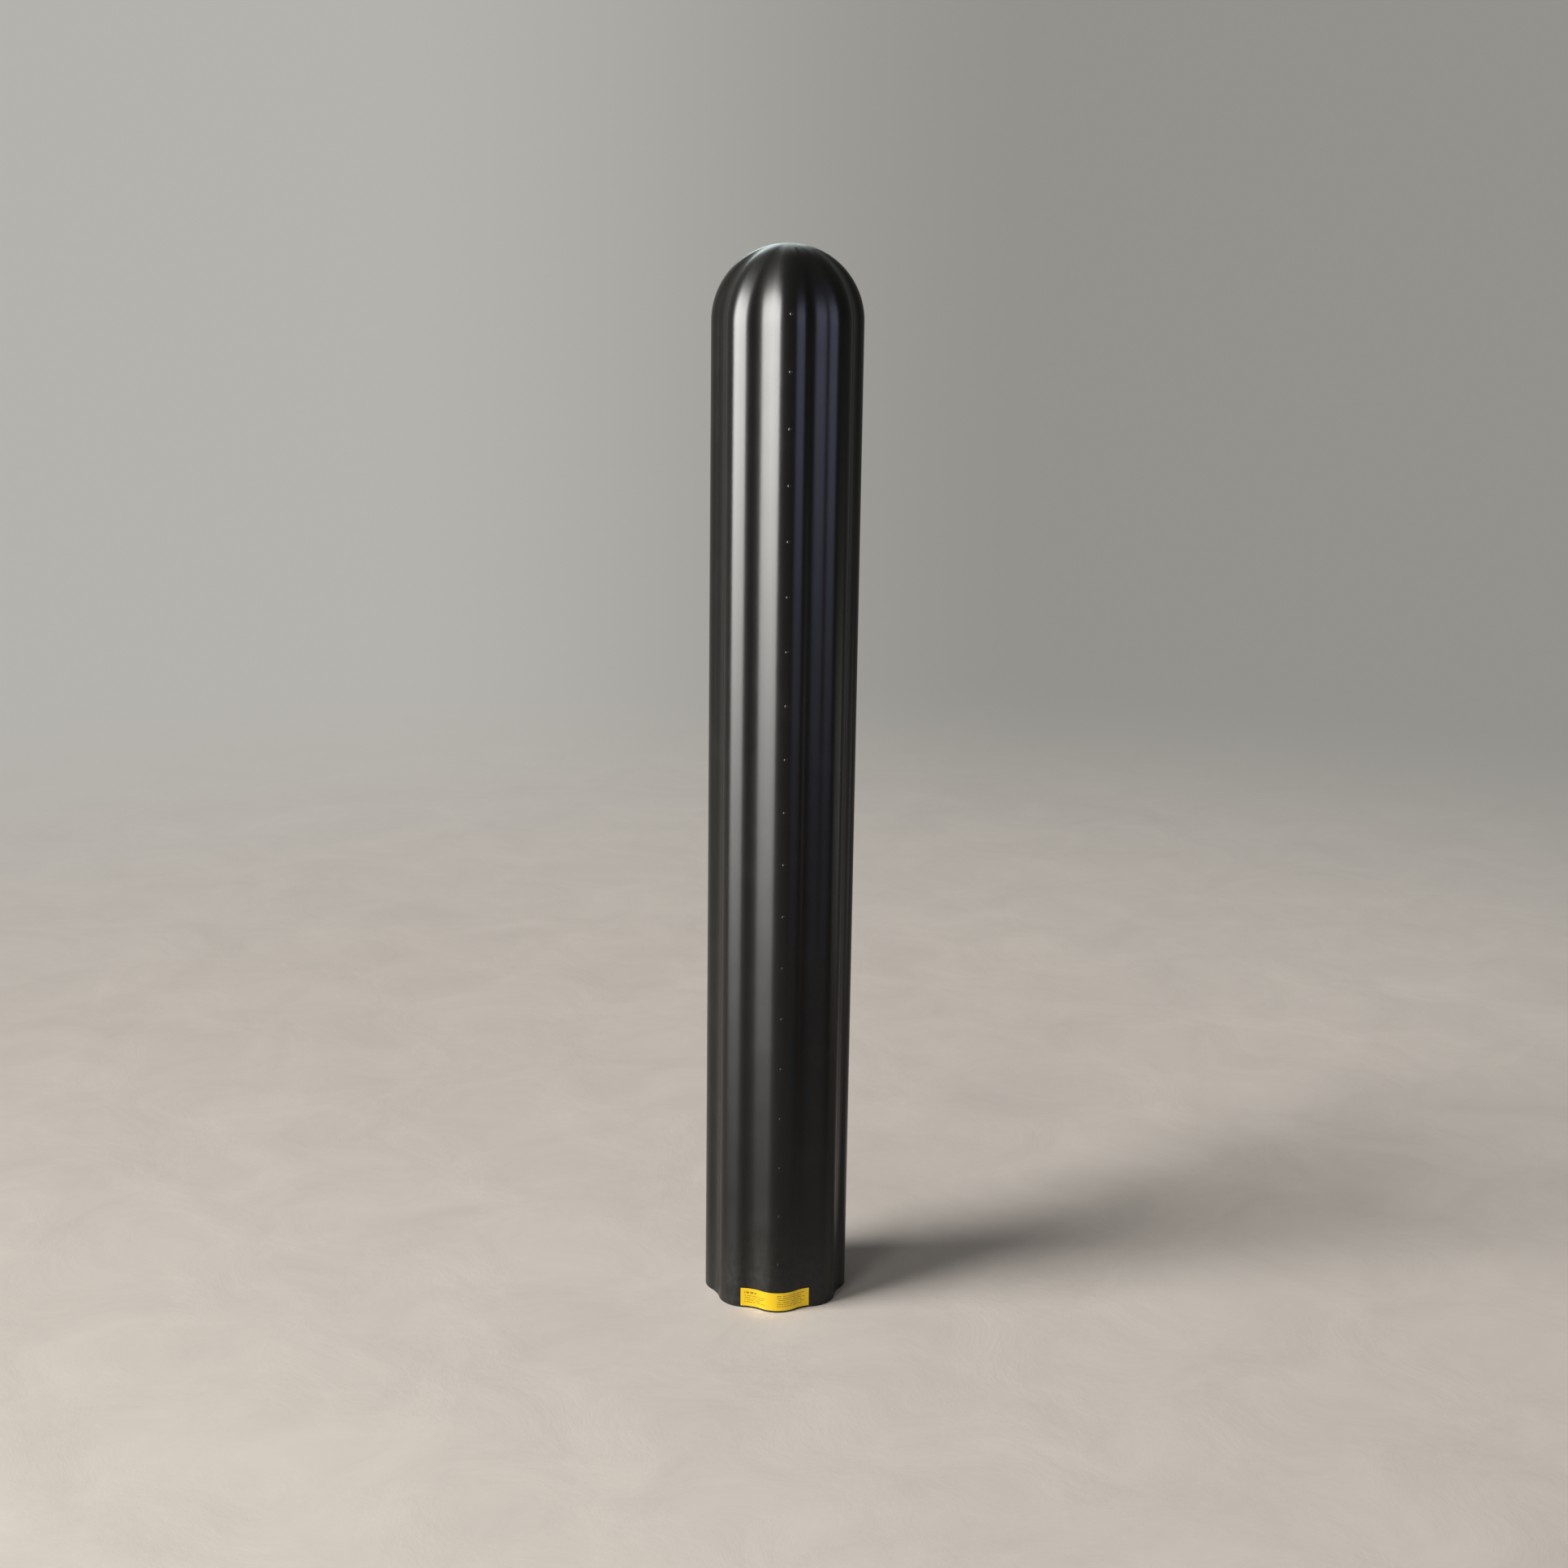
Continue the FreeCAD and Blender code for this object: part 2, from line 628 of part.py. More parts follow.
# ---------------------------------------------------------------------------
# Foam tape rings that keep the cover centred
# ---------------------------------------------------------------------------
FOAM_RINGS = [("foam_ring_lower", "foamEndMargin"), ("foam_ring_middle", "foamMiddleZ"),
              ("foam_ring_upper", "foamTopZ")]
for label, bottom in FOAM_RINGS:
    strip = primitive("Cylinder", f"{label}_strip", Radius="Sizes.foamRad",
                      Height="Sizes.foamWidth", Placement_Base_z=f"Sizes.{bottom}")
    pipe = primitive("Cylinder", f"{label}_pipe", Radius="Sizes.postRad",
                     Height="Sizes.foamWidth", Placement_Base_z=f"Sizes.{bottom}")
    loop = combine("Cut", f"{label}_loop", strip, pipe)
    butt = primitive("Box", f"{label}_butt", Length="Sizes.foamButt", Width="Sizes.foamRad",
                     Height="Sizes.foamWidth", Placement_Base_x="-Sizes.foamButt / 2",
                     Placement_Base_z=f"Sizes.{bottom}")
    ring = combine("Cut", label, loop, butt)
    ring.Label = label

# ---------------------------------------------------------------------------
# Check and export
# ---------------------------------------------------------------------------
NODES = [
    "fluted_cover", "safety_label", "post_pipe", "base_flange", "flange_weld_bead",
    "cap_crossbar", "crossbar_weld_beads", "crossbar_nut", "nut_weld_beads", "cap_plate",
    "cap_spigot_ring", "spigot_weld_bead", "cap_gasket", "cap_bolt", "cap_washer",
    "cap_lock_washer", "foam_ring_lower", "foam_ring_middle", "foam_ring_upper",
]

doc.recompute()
for item in doc.Objects:
    if "Invalid" in item.State or "Error" in item.State:
        raise RuntimeError(f"{item.Label} failed: {item.State}")

os.makedirs("parts", exist_ok=True)
for node in NODES:
    shape = doc.getObjectsByLabel(node)[0].Shape
    if shape.isNull() or not shape.isValid():
        raise RuntimeError(f"{node} has no valid shape")
    shape.exportStep(f"parts/{node}.step")
    print(f"{node:22s} solids {len(shape.Solids)}  volume {shape.Volume:12.1f} mm3")
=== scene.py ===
import json
import math
from functools import cache

import bmesh
import bpy
from bpy.props import FloatProperty, FloatVectorProperty, IntProperty, PointerProperty
from mathutils import Matrix, Vector

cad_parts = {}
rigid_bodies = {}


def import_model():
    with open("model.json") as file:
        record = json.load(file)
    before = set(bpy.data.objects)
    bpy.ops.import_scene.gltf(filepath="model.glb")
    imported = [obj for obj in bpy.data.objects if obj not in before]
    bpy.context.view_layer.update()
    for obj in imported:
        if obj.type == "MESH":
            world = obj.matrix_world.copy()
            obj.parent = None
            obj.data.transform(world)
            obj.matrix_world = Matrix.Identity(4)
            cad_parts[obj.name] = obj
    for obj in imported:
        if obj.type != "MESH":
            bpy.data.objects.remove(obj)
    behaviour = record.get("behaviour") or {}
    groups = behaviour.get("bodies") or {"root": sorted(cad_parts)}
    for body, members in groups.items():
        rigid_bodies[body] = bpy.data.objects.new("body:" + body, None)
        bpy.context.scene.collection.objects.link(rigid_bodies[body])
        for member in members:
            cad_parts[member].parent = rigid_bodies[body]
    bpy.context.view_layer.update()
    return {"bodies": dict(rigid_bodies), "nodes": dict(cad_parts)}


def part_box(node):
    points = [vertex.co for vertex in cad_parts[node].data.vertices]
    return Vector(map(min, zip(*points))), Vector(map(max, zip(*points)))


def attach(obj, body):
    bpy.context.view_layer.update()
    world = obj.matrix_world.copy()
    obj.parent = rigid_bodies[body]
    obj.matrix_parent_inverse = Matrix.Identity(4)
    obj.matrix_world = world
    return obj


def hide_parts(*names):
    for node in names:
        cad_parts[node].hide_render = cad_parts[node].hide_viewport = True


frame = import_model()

bl_info = {
    "name": "Fluted Safety Bollard",
    "version": (1, 0, 0),
    "blender": (4, 5, 0),
    "location": "View3D > Sidebar > Bollard",
    "description": "Builds a fluted bollard cover, its steel post and fittings, and a studio stage",
    "category": "Object",
}

TINY = 1e-6                 # metres, for picking geometry by its place
MM = 0.001
ORIGIN = (0, 0, 0)
BLACK = (0, 0, 0)
COVER_LOW, COVER_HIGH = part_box("fluted_cover")
PIPE_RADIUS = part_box("post_pipe")[1].x
LABEL_LOW, LABEL_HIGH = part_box("safety_label")


# --- Sizes and colours a maker would change ---
def length(name, description, default):
    """A length in metres."""
    return FloatProperty(name=name, description=description, default=default, unit="LENGTH",
                         precision=5)


def angle(name, description, degrees):
    """An angle, given in degrees."""
    return FloatProperty(name=name, description=description, default=math.radians(degrees),
                         subtype="ANGLE")


def amount(name, description, default):
    """A plain number."""
    return FloatProperty(name=name, description=description, default=default)


def colour(name, description, default):
    """A colour."""
    return FloatVectorProperty(name=name, description=description, default=default,
                               subtype="COLOR", size=3, min=0, max=1)


class CoverSizes(bpy.types.PropertyGroup):
    """Sizes of the fluted cover."""

    crest_radius: length("Crest radius", "From the axis to the crest of a lobe",
                         (COVER_HIGH.x - COVER_LOW.x) / 2)
    height: length("Height", "From the floor to the top of the dome", COVER_HIGH.z)
    wall: length("Wall", "Thickness of the plastic", 3.2 * MM)
    flute_depth: length("Flute depth", "From a lobe's crest down to a flute's root", 8.2 * MM)
    nose_radius: length("Lobe radius", "Roundness of a lobe", 40.5 * MM)
    lobes: IntProperty(name="Lobes", description="Number of lobes round the cover", default=8)
    rim_round: length("Rim rounding", "Rounding of the cut lower edge", 0.5 * MM)
    pip_pitch: length("Pip pitch", "Height from one trim pip to the next", 76.2 * MM)
    pip_radius: length("Pip radius", "Radius of a trim pip at its foot", 2.6 * MM)
    pip_rise: length("Pip rise", "How far a trim pip stands proud", 0.8 * MM)


class LabelSizes(bpy.types.PropertyGroup):
    """Sizes of the label round the foot of the front lobe."""

    bottom: length("Bottom", "Height of the label's lower edge", LABEL_LOW.z)
    height: length("Height", "Height of the label", LABEL_HIGH.z - LABEL_LOW.z)
    left_angle: angle("Left angle", "From the front crest to the label's left end", 32.8)
    right_angle: angle("Right angle", "From the front crest to the label's right end", 27.8)
    glue: length("Glue", "Thickness of the adhesive under the vinyl", 0.05 * MM)
    thickness: length("Thickness", "Thickness of the vinyl", 0.3 * MM)


class BollardColours(bpy.types.PropertyGroup):
    """Colours of the finishes."""

    cover: colour("Cover", "Black moulded plastic", (0.0075, 0.0073, 0.0064))
    label: colour("Label", "Amber yellow vinyl", (1.0, 0.68, 0.012))
    print_ink: colour("Print", "Ink on the label", (0.30, 0.15, 0.010))
    zinc: colour("Galvanising", "Hot-dip zinc", (0.45, 0.465, 0.475))
    floor: colour("Floor", "Pale studio floor", (0.69, 0.635, 0.585))


class StudioSizes(bpy.types.PropertyGroup):
    """Where the camera stands and how strong the lights are."""

    camera_distance: length("Camera distance", "Level distance from the post's axis", 3.445)
    camera_height: length("Camera height", "Height of the lens above the floor", 1.6773)
    camera_aside: length("Camera aside", "How far the camera stands to the right of the axis",
                         0.0033)
    camera_turn: angle("Camera turn", "How far the camera stands round from the front lobe",
                       -2.9)
    camera_pitch: angle("Camera pitch", "How far the camera looks down", 14.646)
    camera_roll: angle("Camera roll", "Tilt of the camera about its line of sight", 0.782)
    lens: amount("Lens", "Focal length on a 36 mm wide sensor, in millimetres", 57.03)
    softbox: amount("Softbox", "Brightness of the large softbox on the left", 38.5)
    post_softbox: amount("Post softbox", "Brightness of the softbox the metal mirrors", 2.8)
    cool_panel: amount("Cool panel", "Brightness of the cool panel on the right", 4.7)
    low_board: amount("Low board", "Brightness of the low board on the right", 1.2)
    hair_light: amount("Hair light", "Brightness of the panel behind, above the dome", 3.4)
    key_strength: amount("Key", "Strength of the soft key light that casts the shadow", 2.4)
    key_softness: angle("Key softness", "Angle the key light fills, seen from the post", 25)
    wash_power: amount("Wash", "Power of the soft wash on the left, in watts", 14)
    front_power: amount("Front fill", "Power of the soft fill from the front, in watts", 21)


# --- Modelling helpers ---
def edit_mode(on):
    """Enter or leave edit mode."""
    bpy.ops.object.mode_set(mode="EDIT" if on else "OBJECT")


def select_all():
    """In edit mode, select the whole mesh."""
    bpy.ops.mesh.select_all(action="SELECT")


def shade(degrees=40):
    """Shade the active piece smooth, up to an angle between its faces."""
    bpy.ops.object.shade_smooth_by_angle(angle=math.radians(degrees))


def extrude_up(rise):
    """Extrude what is selected straight up."""
    bpy.ops.mesh.extrude_region_move(TRANSFORM_OT_translate={"value": (0, 0, rise)})


def scale_about(centre, x, y, z=1):
    """Scale what is selected about a point."""
    bpy.ops.transform.resize(value=(x, y, z), center_override=centre)


def start_piece(name, adder, **settings):
    """Add a primitive as a new piece, with nothing else selected, and enter edit mode."""
    bpy.ops.object.select_all(action="DESELECT")
    adder(**settings)
    piece = bpy.context.object
    piece.name = piece.data.name = name
    bpy.ops.object.transform_apply(location=True, rotation=True, scale=True)
    edit_mode(True)
    bpy.ops.mesh.select_mode(type="VERT")
    select_all()
    return piece


def select_where(piece, kind, test):
    """In edit mode, select only the vertices, edges or faces that pass a test."""
    bpy.ops.mesh.select_all(action="DESELECT")
    bpy.ops.mesh.select_mode(type=kind)
    mesh = bmesh.from_edit_mesh(piece.data)
    items = {"VERT": mesh.verts, "EDGE": mesh.edges, "FACE": mesh.faces}[kind]
    chosen = [item for item in items if test(item)]
    if not chosen:
        raise RuntimeError(f"nothing to select on {piece.name}")
    for item in chosen:
        item.select_set(True)
    mesh.select_flush_mode()
    bmesh.update_edit_mesh(piece.data)


def make_only_active(piece):
    """Select one piece and make it active."""
    bpy.ops.object.select_all(action="DESELECT")
    piece.select_set(True)
    bpy.context.view_layer.objects.active = piece


def join_pieces(pieces):
    """Join meshes into the first one."""
    make_only_active(pieces[0])
    for piece in pieces:
        piece.select_set(True)
    bpy.ops.object.join()
    return pieces[0]


def boolean_piece(piece, tool, operation):
    """Unite, cut or intersect with a tool mesh, which is then removed."""
    make_only_active(piece)
    modifier = piece.modifiers.new("combine", "BOOLEAN")
    modifier.operation = operation
    modifier.solver = "EXACT"
    modifier.object = tool
    bpy.ops.object.modifier_apply(modifier=modifier.name)
    mesh = tool.data
    bpy.data.objects.remove(tool)
    bpy.data.meshes.remove(mesh)


def stand_for(piece, node, body, slot, *materials):
    """Give a new piece its finish, and let it stand for a CAD node."""
    piece.data.materials.clear()
    for finish in materials:
        piece.data.materials.append(finish)
    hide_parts(node)
    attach(piece, body)


def pieces_on(body):
    """A collection of all that moves with a body."""
    group = bpy.data.collections.new(f"{body}_pieces")
    for piece in frame["bodies"][body].children_recursive:
        group.objects.link(piece)
    return group


def bearing_vector(azimuth, distance, height):
    """A place at a bearing from the front, in degrees, at a level distance and a height."""
    turn = math.radians(azimuth)
    return Vector((distance * math.sin(turn), -distance * math.cos(turn), height))


def upright_section(name, inner, outer, low, high):
    """A rectangle standing in the plane through the axis, ready to be turned."""
    middle = ((inner + outer) / 2, 0, (low + high) / 2)
    piece = start_piece(name, bpy.ops.mesh.primitive_plane_add, size=1, location=middle,
                        rotation=(math.pi / 2, 0, 0))
    scale_about(middle, outer - inner, 1, high - low)
    return piece


def turned_ring(name, inner, outer, low, high, rounding, steps, sweep=math.tau, start=0.0):
    """A ring turned from a rectangular section with rounded corners."""
    piece = upright_section(name, inner, outer, low, high)
    bpy.ops.mesh.bevel(offset=rounding, segments=3, affect="VERTICES")
    select_all()
    spin_section(piece, steps, sweep, start)
    return piece


def post_ring(name, node, inner, rounding, steps, slot, finish, slit=0.0):
    """A turned ring on the post that takes its outside, top and bottom from a CAD node."""
    low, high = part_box(node)
    ring = turned_ring(name, inner, high.x, low.z, high.z, rounding, steps,
                       sweep=math.tau - slit, start=slit / 2)
    stand_for(ring, node, "post", slot, finish)


def spin_section(piece, steps, sweep=math.tau, start=0.0):
    """Spin a section's outline about the axis, close it and set its normals outwards.

    The spin tool turns clockwise for a positive angle, so the sweep goes in negative.
    """
    bpy.ops.mesh.delete(type="ONLY_FACE")
    select_all()
    bpy.ops.mesh.spin(steps=steps, angle=-sweep, center=(0, 0, 0), axis=(0, 0, 1))
    select_all()
    bpy.ops.mesh.remove_doubles(threshold=TINY)
    if sweep < math.tau - TINY:
        bpy.ops.mesh.fill_holes(sides=0)
    select_all()
    bpy.ops.mesh.normals_make_consistent(inside=False)
    edit_mode(False)
    piece.data.transform(Matrix.Rotation(start, 4, "Z"))
    shade()


# --- Node helpers ---
def feed(socket, value):
    """Give an input a number, a vector, a colour, or another node's output."""
    if isinstance(value, bpy.types.NodeSocket):
        socket.id_data.links.new(value, socket)
    elif socket.type == "RGBA":
        socket.default_value = (*value, 1)
    else:
        socket.default_value = value


def wire(node, **sources):
    """Feed inputs by name; an underscore stands for a space."""
    for key, value in sources.items():
        feed(node.inputs[key.replace("_", " ")], value)


def fill(node, *values):
    """Feed a node's inputs in order, and give its first output."""
    for socket, value in zip(node.inputs, values):
        feed(socket, value)
    return node.outputs[0]


def add_node(tree, kind, **settings):
    """Add a node. Settings in lower case are the node's own, and the others its inputs."""
    node = tree.nodes.new(f"ShaderNode{kind}")
    for key, value in settings.items():
        if key.islower():
            setattr(node, key, value)
        else:
            wire(node, **{key: value})
    return node


def new_material(name, **shader_inputs):
    """A material, its tree, its Principled shader and the Object coordinates."""
    made = bpy.data.materials.new(name)
    made.use_nodes = True
    tree = made.node_tree
    shader = tree.nodes["Principled BSDF"]
    wire(shader, **shader_inputs)
    return made, tree, shader, add_node(tree, "TexCoord").outputs["Object"]


def new_group(name, inputs, outputs):
    """An empty node group with a Vector and numbers going in, and numbers coming out."""
    tree = bpy.data.node_groups.new(name, "ShaderNodeTree")
    sockets = tree.interface
    sockets.new_socket(name="Vector", in_out="INPUT", socket_type="NodeSocketVector")
    for key, default in inputs.items():
        socket = sockets.new_socket(name=key, in_out="INPUT", socket_type="NodeSocketFloat")
        socket.default_value = default
    for key in outputs:
        sockets.new_socket(name=key, in_out="OUTPUT", socket_type="NodeSocketFloat")
    entry = tree.nodes.new("NodeGroupInput")
    leave = tree.nodes.new("NodeGroupOutput")
    return tree, entry.outputs, leave.inputs


def place_group(tree, group, place, **values):
    """Place a shared effect in a material with its own values, and give its outputs."""
    return add_node(tree, "Group", node_tree=group(), Vector=place, **values).outputs


def math_node(tree, operation, first, second, clamp=False):
    """A Math node fed by sockets or numbers."""
    return fill(add_node(tree, "Math", operation=operation, use_clamp=clamp), first, second)


def add_shares(tree, total, *terms):
    """Add sources to a total, each times its own share."""
    for source, share in terms:
        part = math_node(tree, "MULTIPLY", source, share)
        total = math_node(tree, "ADD", total, part, clamp=True)
    return total


def noise(tree, place, scale, detail, roughness, **more):
    """A Noise texture's value."""
    return add_node(tree, "TexNoise", Vector=place, Scale=scale, Detail=detail,
                    Roughness=roughness, **more).outputs[0]


def map_range(tree, value, low, high, to_low, to_high, smooth=False):
    """A clamped Map Range node."""
    node = add_node(tree, "MapRange", interpolation_type="SMOOTHSTEP" if smooth else "LINEAR",
                    Value=value, From_Min=low, From_Max=high, To_Min=to_low, To_Max=to_high)
    return node.outputs["Result"]


def mix_colour(tree, factor, first, second):
    """A colour mix of constants or sockets."""
    node = add_node(tree, "Mix", data_type="RGBA", Factor=factor)
    feed(node.inputs[6], first)
    feed(node.inputs[7], second)
    return node.outputs[2]


def bump(tree, height, strength, distance, **normal):
    """A Bump node with constant strength and distance."""
    return add_node(tree, "Bump", Strength=strength, Distance=distance, Height=height,
                    **normal).outputs[0]


def set_out(tree):
    """Set nodes out in columns, by their steps from the last node."""
    steps = {node.name: 0 for node in tree.nodes}
    for _ in tree.nodes:
        for wired in tree.links:
            after = steps[wired.to_node.name] + 1
            steps[wired.from_node.name] = max(steps[wired.from_node.name], after)
    rows = {}
    for name, step in steps.items():
        rows[step] = rows.get(step, 0) + 1
        tree.nodes[name].location = (-220 * step, -260 * rows[step])


def built_once(builder):
    """Build a material or an effect the first time it is asked for, then keep it."""
    @cache
    def build():
        made = builder()
        set_out(getattr(made, "node_tree", made))
        return made
    return build


# --- Shared effects ---
@built_once
def grain_group():
    """Fine moulded grain with a slow swell under it."""
    tree, given, out = new_group(
        "moulded_grain", {"Grains": 900.0, "Swells": 40.0, "Swell Share": 0.5},
        ["Height", "Tone"])
    fine = noise(tree, given["Vector"], given["Grains"], 3.0, 0.55)
    slow = noise(tree, given["Vector"], given["Swells"], 2.0, 0.5)
    swell = math_node(tree, "MULTIPLY", slow, given["Swell Share"])
    feed(out["Height"], math_node(tree, "ADD", fine, swell))
    feed(out["Tone"], slow)
    return tree


@built_once
def wear_group():
    """Thin handling scratches, long up and down, and scattered scuffs."""
    tree, given, out = new_group("handling_wear", {"Amount": 0.5}, ["Scratches", "Scuffs"])
    stretch = add_node(tree, "Mapping", Vector=given["Vector"], Scale=(60.0, 60.0, 3.0),
                       Rotation=(0.06, 0.09, 0.0))
    lines = noise(tree, stretch.outputs[0], 9.0, 2.0, 0.4)
    blotches = noise(tree, given["Vector"], 14.0, 4.0, 0.65)
    thin = map_range(tree, lines, 0.68, 0.74, 0.0, 1.0, smooth=True)
    patches = map_range(tree, blotches, 0.5, 0.72, 0.0, 1.0, smooth=True)
    scratches = math_node(tree, "MULTIPLY", thin, patches)
    feed(out["Scratches"], math_node(tree, "MULTIPLY", scratches, given["Amount"]))
    feed(out["Scuffs"], math_node(tree, "MULTIPLY", patches, given["Amount"]))
    return tree


@built_once
def dust_group():
    """Pale dust that gathers close to the floor."""
    tree, given, out = new_group("floor_dust", {"Reach": 0.12, "Amount": 0.2}, ["Dust"])
    split = add_node(tree, "SeparateXYZ", Vector=given["Vector"])
    share = math_node(tree, "DIVIDE", split.outputs["Z"], given["Reach"])
    low = map_range(tree, share, 0.0, 1.0, 1.0, 0.0, smooth=True)
    specks = noise(tree, given["Vector"], 120.0, 5.0, 0.7)
    broken = map_range(tree, specks, 0.35, 0.7, 0.2, 1.0)
    dust = math_node(tree, "MULTIPLY", low, broken)
    feed(out["Dust"], math_node(tree, "MULTIPLY", dust, given["Amount"]))
    return tree


@built_once
def spangle_group():
    """Crystals of a zinc coat: each one its own tone, with faint borders."""
    tree, given, out = new_group("zinc_spangle", {"Crystals": 70.0}, ["Tone", "Height"])
    warp = add_node(tree, "TexNoise", Vector=given["Vector"], Scale=45.0, Detail=3.0,
                    Roughness=0.6)
    shift = add_node(tree, "VectorMath", operation="SCALE", Vector=warp.outputs["Color"],
                     Scale=0.012)
    bent = fill(add_node(tree, "VectorMath", operation="ADD"), given["Vector"],
                shift.outputs[0])
    cells = add_node(tree, "TexVoronoi", Vector=bent, Scale=given["Crystals"])
    seams = add_node(tree, "TexVoronoi", feature="DISTANCE_TO_EDGE", Vector=bent,
                     Scale=given["Crystals"])
    tone = add_node(tree, "SeparateColor", Color=cells.outputs["Color"]).outputs[0]
    seam = map_range(tree, seams.outputs["Distance"], 0.0, 0.08, 0.0, 1.0, smooth=True)
    feed(out["Tone"], tone)
    feed(out["Height"], math_node(tree, "ADD", math_node(tree, "MULTIPLY", tone, 0.35), seam))
    return tree


# --- Materials ---
def grained_material(name, dark, light, rough, relief, grains, swells, share=0.5,
                     **shader_inputs):
    """A finish whose colour and roughness follow a slow swell, with a fine grain in relief.

    rough is the roughness at the swell's low and high, and relief is (strength, distance).
    """
    made, tree, shader, place = new_material(name, **shader_inputs)
    grain = place_group(tree, grain_group, place, Grains=grains, Swells=swells,
                        Swell_Share=share)
    wire(shader, Base_Color=mix_colour(tree, grain["Tone"], dark, light),
         Roughness=map_range(tree, grain["Tone"], 0.3, 0.7, *rough))
    if relief:
        wire(shader, Normal=bump(tree, grain["Height"], *relief))
    return made


@built_once
def cover_outside():
    """Black satin polyethylene with a faint moulded grain, handling marks and foot dust."""
    black = bpy.context.scene.bollard_colours.cover
    made, tree, shader, place = new_material("black_moulded_plastic", Specular_IOR_Level=0.24,
                                             Anisotropic=0.75, Anisotropic_Rotation=0.25)
    around = add_node(tree, "Tangent", direction_type="RADIAL", axis="Z")
    grain = place_group(tree, grain_group, place, Grains=700.0, Swells=26.0, Swell_Share=1.6)
    wear = place_group(tree, wear_group, place, Amount=0.5)
    dust = place_group(tree, dust_group, place, Reach=0.16, Amount=0.10)["Dust"]
    scuffed = mix_colour(tree, wear["Scuffs"], black, (0.014, 0.0138, 0.0128))
    base = map_range(tree, grain["Tone"], 0.3, 0.7, 0.285, 0.315)
    wire(shader, Base_Color=mix_colour(tree, dust, scuffed, (0.16, 0.15, 0.135)),
         Roughness=add_shares(tree, base, (wear["Scratches"], 0.12), (dust, 1.2)),
         Normal=bump(tree, grain["Height"], 0.12, 0.0002), Tangent=around.outputs[0])
    return made


@built_once
def cover_inside():
    """The unpolished inside of the moulding."""
    return grained_material("black_plastic_inside", (0.010, 0.010, 0.0095),
                            (0.020, 0.020, 0.019), (0.55, 0.75), (0.5, 0.0008),
                            260.0, 60.0, 0.8, Specular_IOR_Level=0.4)


def print_rows(tree, across, up, rows):
    """A mask of plain printed bars: (bottom, top, left, right, seed) in shares of the label."""
    total = 0.0
    for bottom, top, left, right, seed in rows:
        words = add_node(tree, "TexNoise", noise_dimensions="1D", Scale=34.0, Detail=1.0,
                         W=math_node(tree, "ADD", across, seed))
        mask = map_range(tree, words.outputs[0], 0.36, 0.42, 0.0, 1.0)
        for edge in ((up, bottom, bottom + 0.012, 0.0, 1.0), (up, top - 0.012, top, 1.0, 0.0),
                     (across, left, left + 0.004, 0.0, 1.0),
                     (across, right - 0.004, right, 1.0, 0.0)):
            mask = math_node(tree, "MULTIPLY", mask, map_range(tree, *edge))
        total = math_node(tree, "MAXIMUM", total, mask)
    return total


@built_once
def label_vinyl():
    """Amber vinyl with plain printed bars, slightly rubbed."""
    colours = bpy.context.scene.bollard_colours
    made, tree, shader, place = new_material("amber_label_vinyl", Specular_IOR_Level=0.45)
    layer = add_node(tree, "UVMap", uv_map="label_map")
    split = add_node(tree, "SeparateXYZ", Vector=layer.outputs[0])
    rows = [(0.70, 0.83, 0.05, 0.23, 0.3)]
    rows += [(0.56 - 0.115 * i, 0.61 - 0.115 * i, 0.05, 0.36 - 0.03 * (i % 3), 1.7 + i)
             for i in range(4)]
    rows += [(0.80 - 0.115 * i, 0.85 - 0.115 * i, 0.52, 0.94 - 0.05 * (i % 2), 7.1 + i)
             for i in range(6)]
    ink = print_rows(tree, split.outputs["X"], split.outputs["Y"], rows)
    wear = place_group(tree, wear_group, place, Amount=0.8)
    rubbed = math_node(tree, "SUBTRACT", ink, wear["Scratches"], clamp=True)
    faded = math_node(tree, "MULTIPLY", rubbed, 0.85)
    wire(shader, Base_Color=mix_colour(tree, faded, colours.label, colours.print_ink),
         Roughness=map_range(tree, wear["Scuffs"], 0.0, 1.0, 0.34, 0.5))
    return made


@built_once
def label_edge():
    """The vinyl's cut edge and glued back."""
    return grained_material("label_vinyl_edge", (0.55, 0.33, 0.01), (0.78, 0.5, 0.03),
                            (0.5, 0.65), None, 900.0, 90.0, Specular_IOR_Level=0.4)


@built_once
def galvanised():
    """Hot-dip galvanised steel: spangle, dull patches and a few rubs."""
    zinc = bpy.context.scene.bollard_colours.zinc
    made, tree, shader, place = new_material("galvanised_steel", Metallic=0.75)
    spangle = place_group(tree, spangle_group, place, Crystals=90.0)
    wear = place_group(tree, wear_group, place, Amount=0.8)
    grain = place_group(tree, grain_group, place, Grains=420.0, Swells=9.0, Swell_Share=1.0)
    darker = [0.78 * channel for channel in zinc]
    tone = mix_colour(tree, spangle["Tone"], darker, zinc)
    base = map_range(tree, spangle["Tone"], 0.0, 1.0, 0.48, 0.62)
    patchy = map_range(tree, grain["Tone"], 0.35, 0.7, 0.0, 1.0)
    crystal = bump(tree, spangle["Height"], 0.25, 0.00012)
    wire(shader, Base_Color=mix_colour(tree, wear["Scuffs"], tone, (0.50, 0.51, 0.51)),
         Roughness=add_shares(tree, base, (patchy, 0.14), (wear["Scratches"], -0.12)),
         Normal=bump(tree, grain["Height"], 0.2, 0.0002, Normal=crystal))
    return made


@built_once
def weld_metal():
    """Weld bead under sprayed zinc: dull and rippled, its tone varying in slow swells."""
    return grained_material("sprayed_weld", (0.20, 0.195, 0.19), (0.44, 0.44, 0.43),
                            (0.42, 0.62), (0.6, 0.0004), 900.0, 150.0, 1.5, Metallic=0.75)


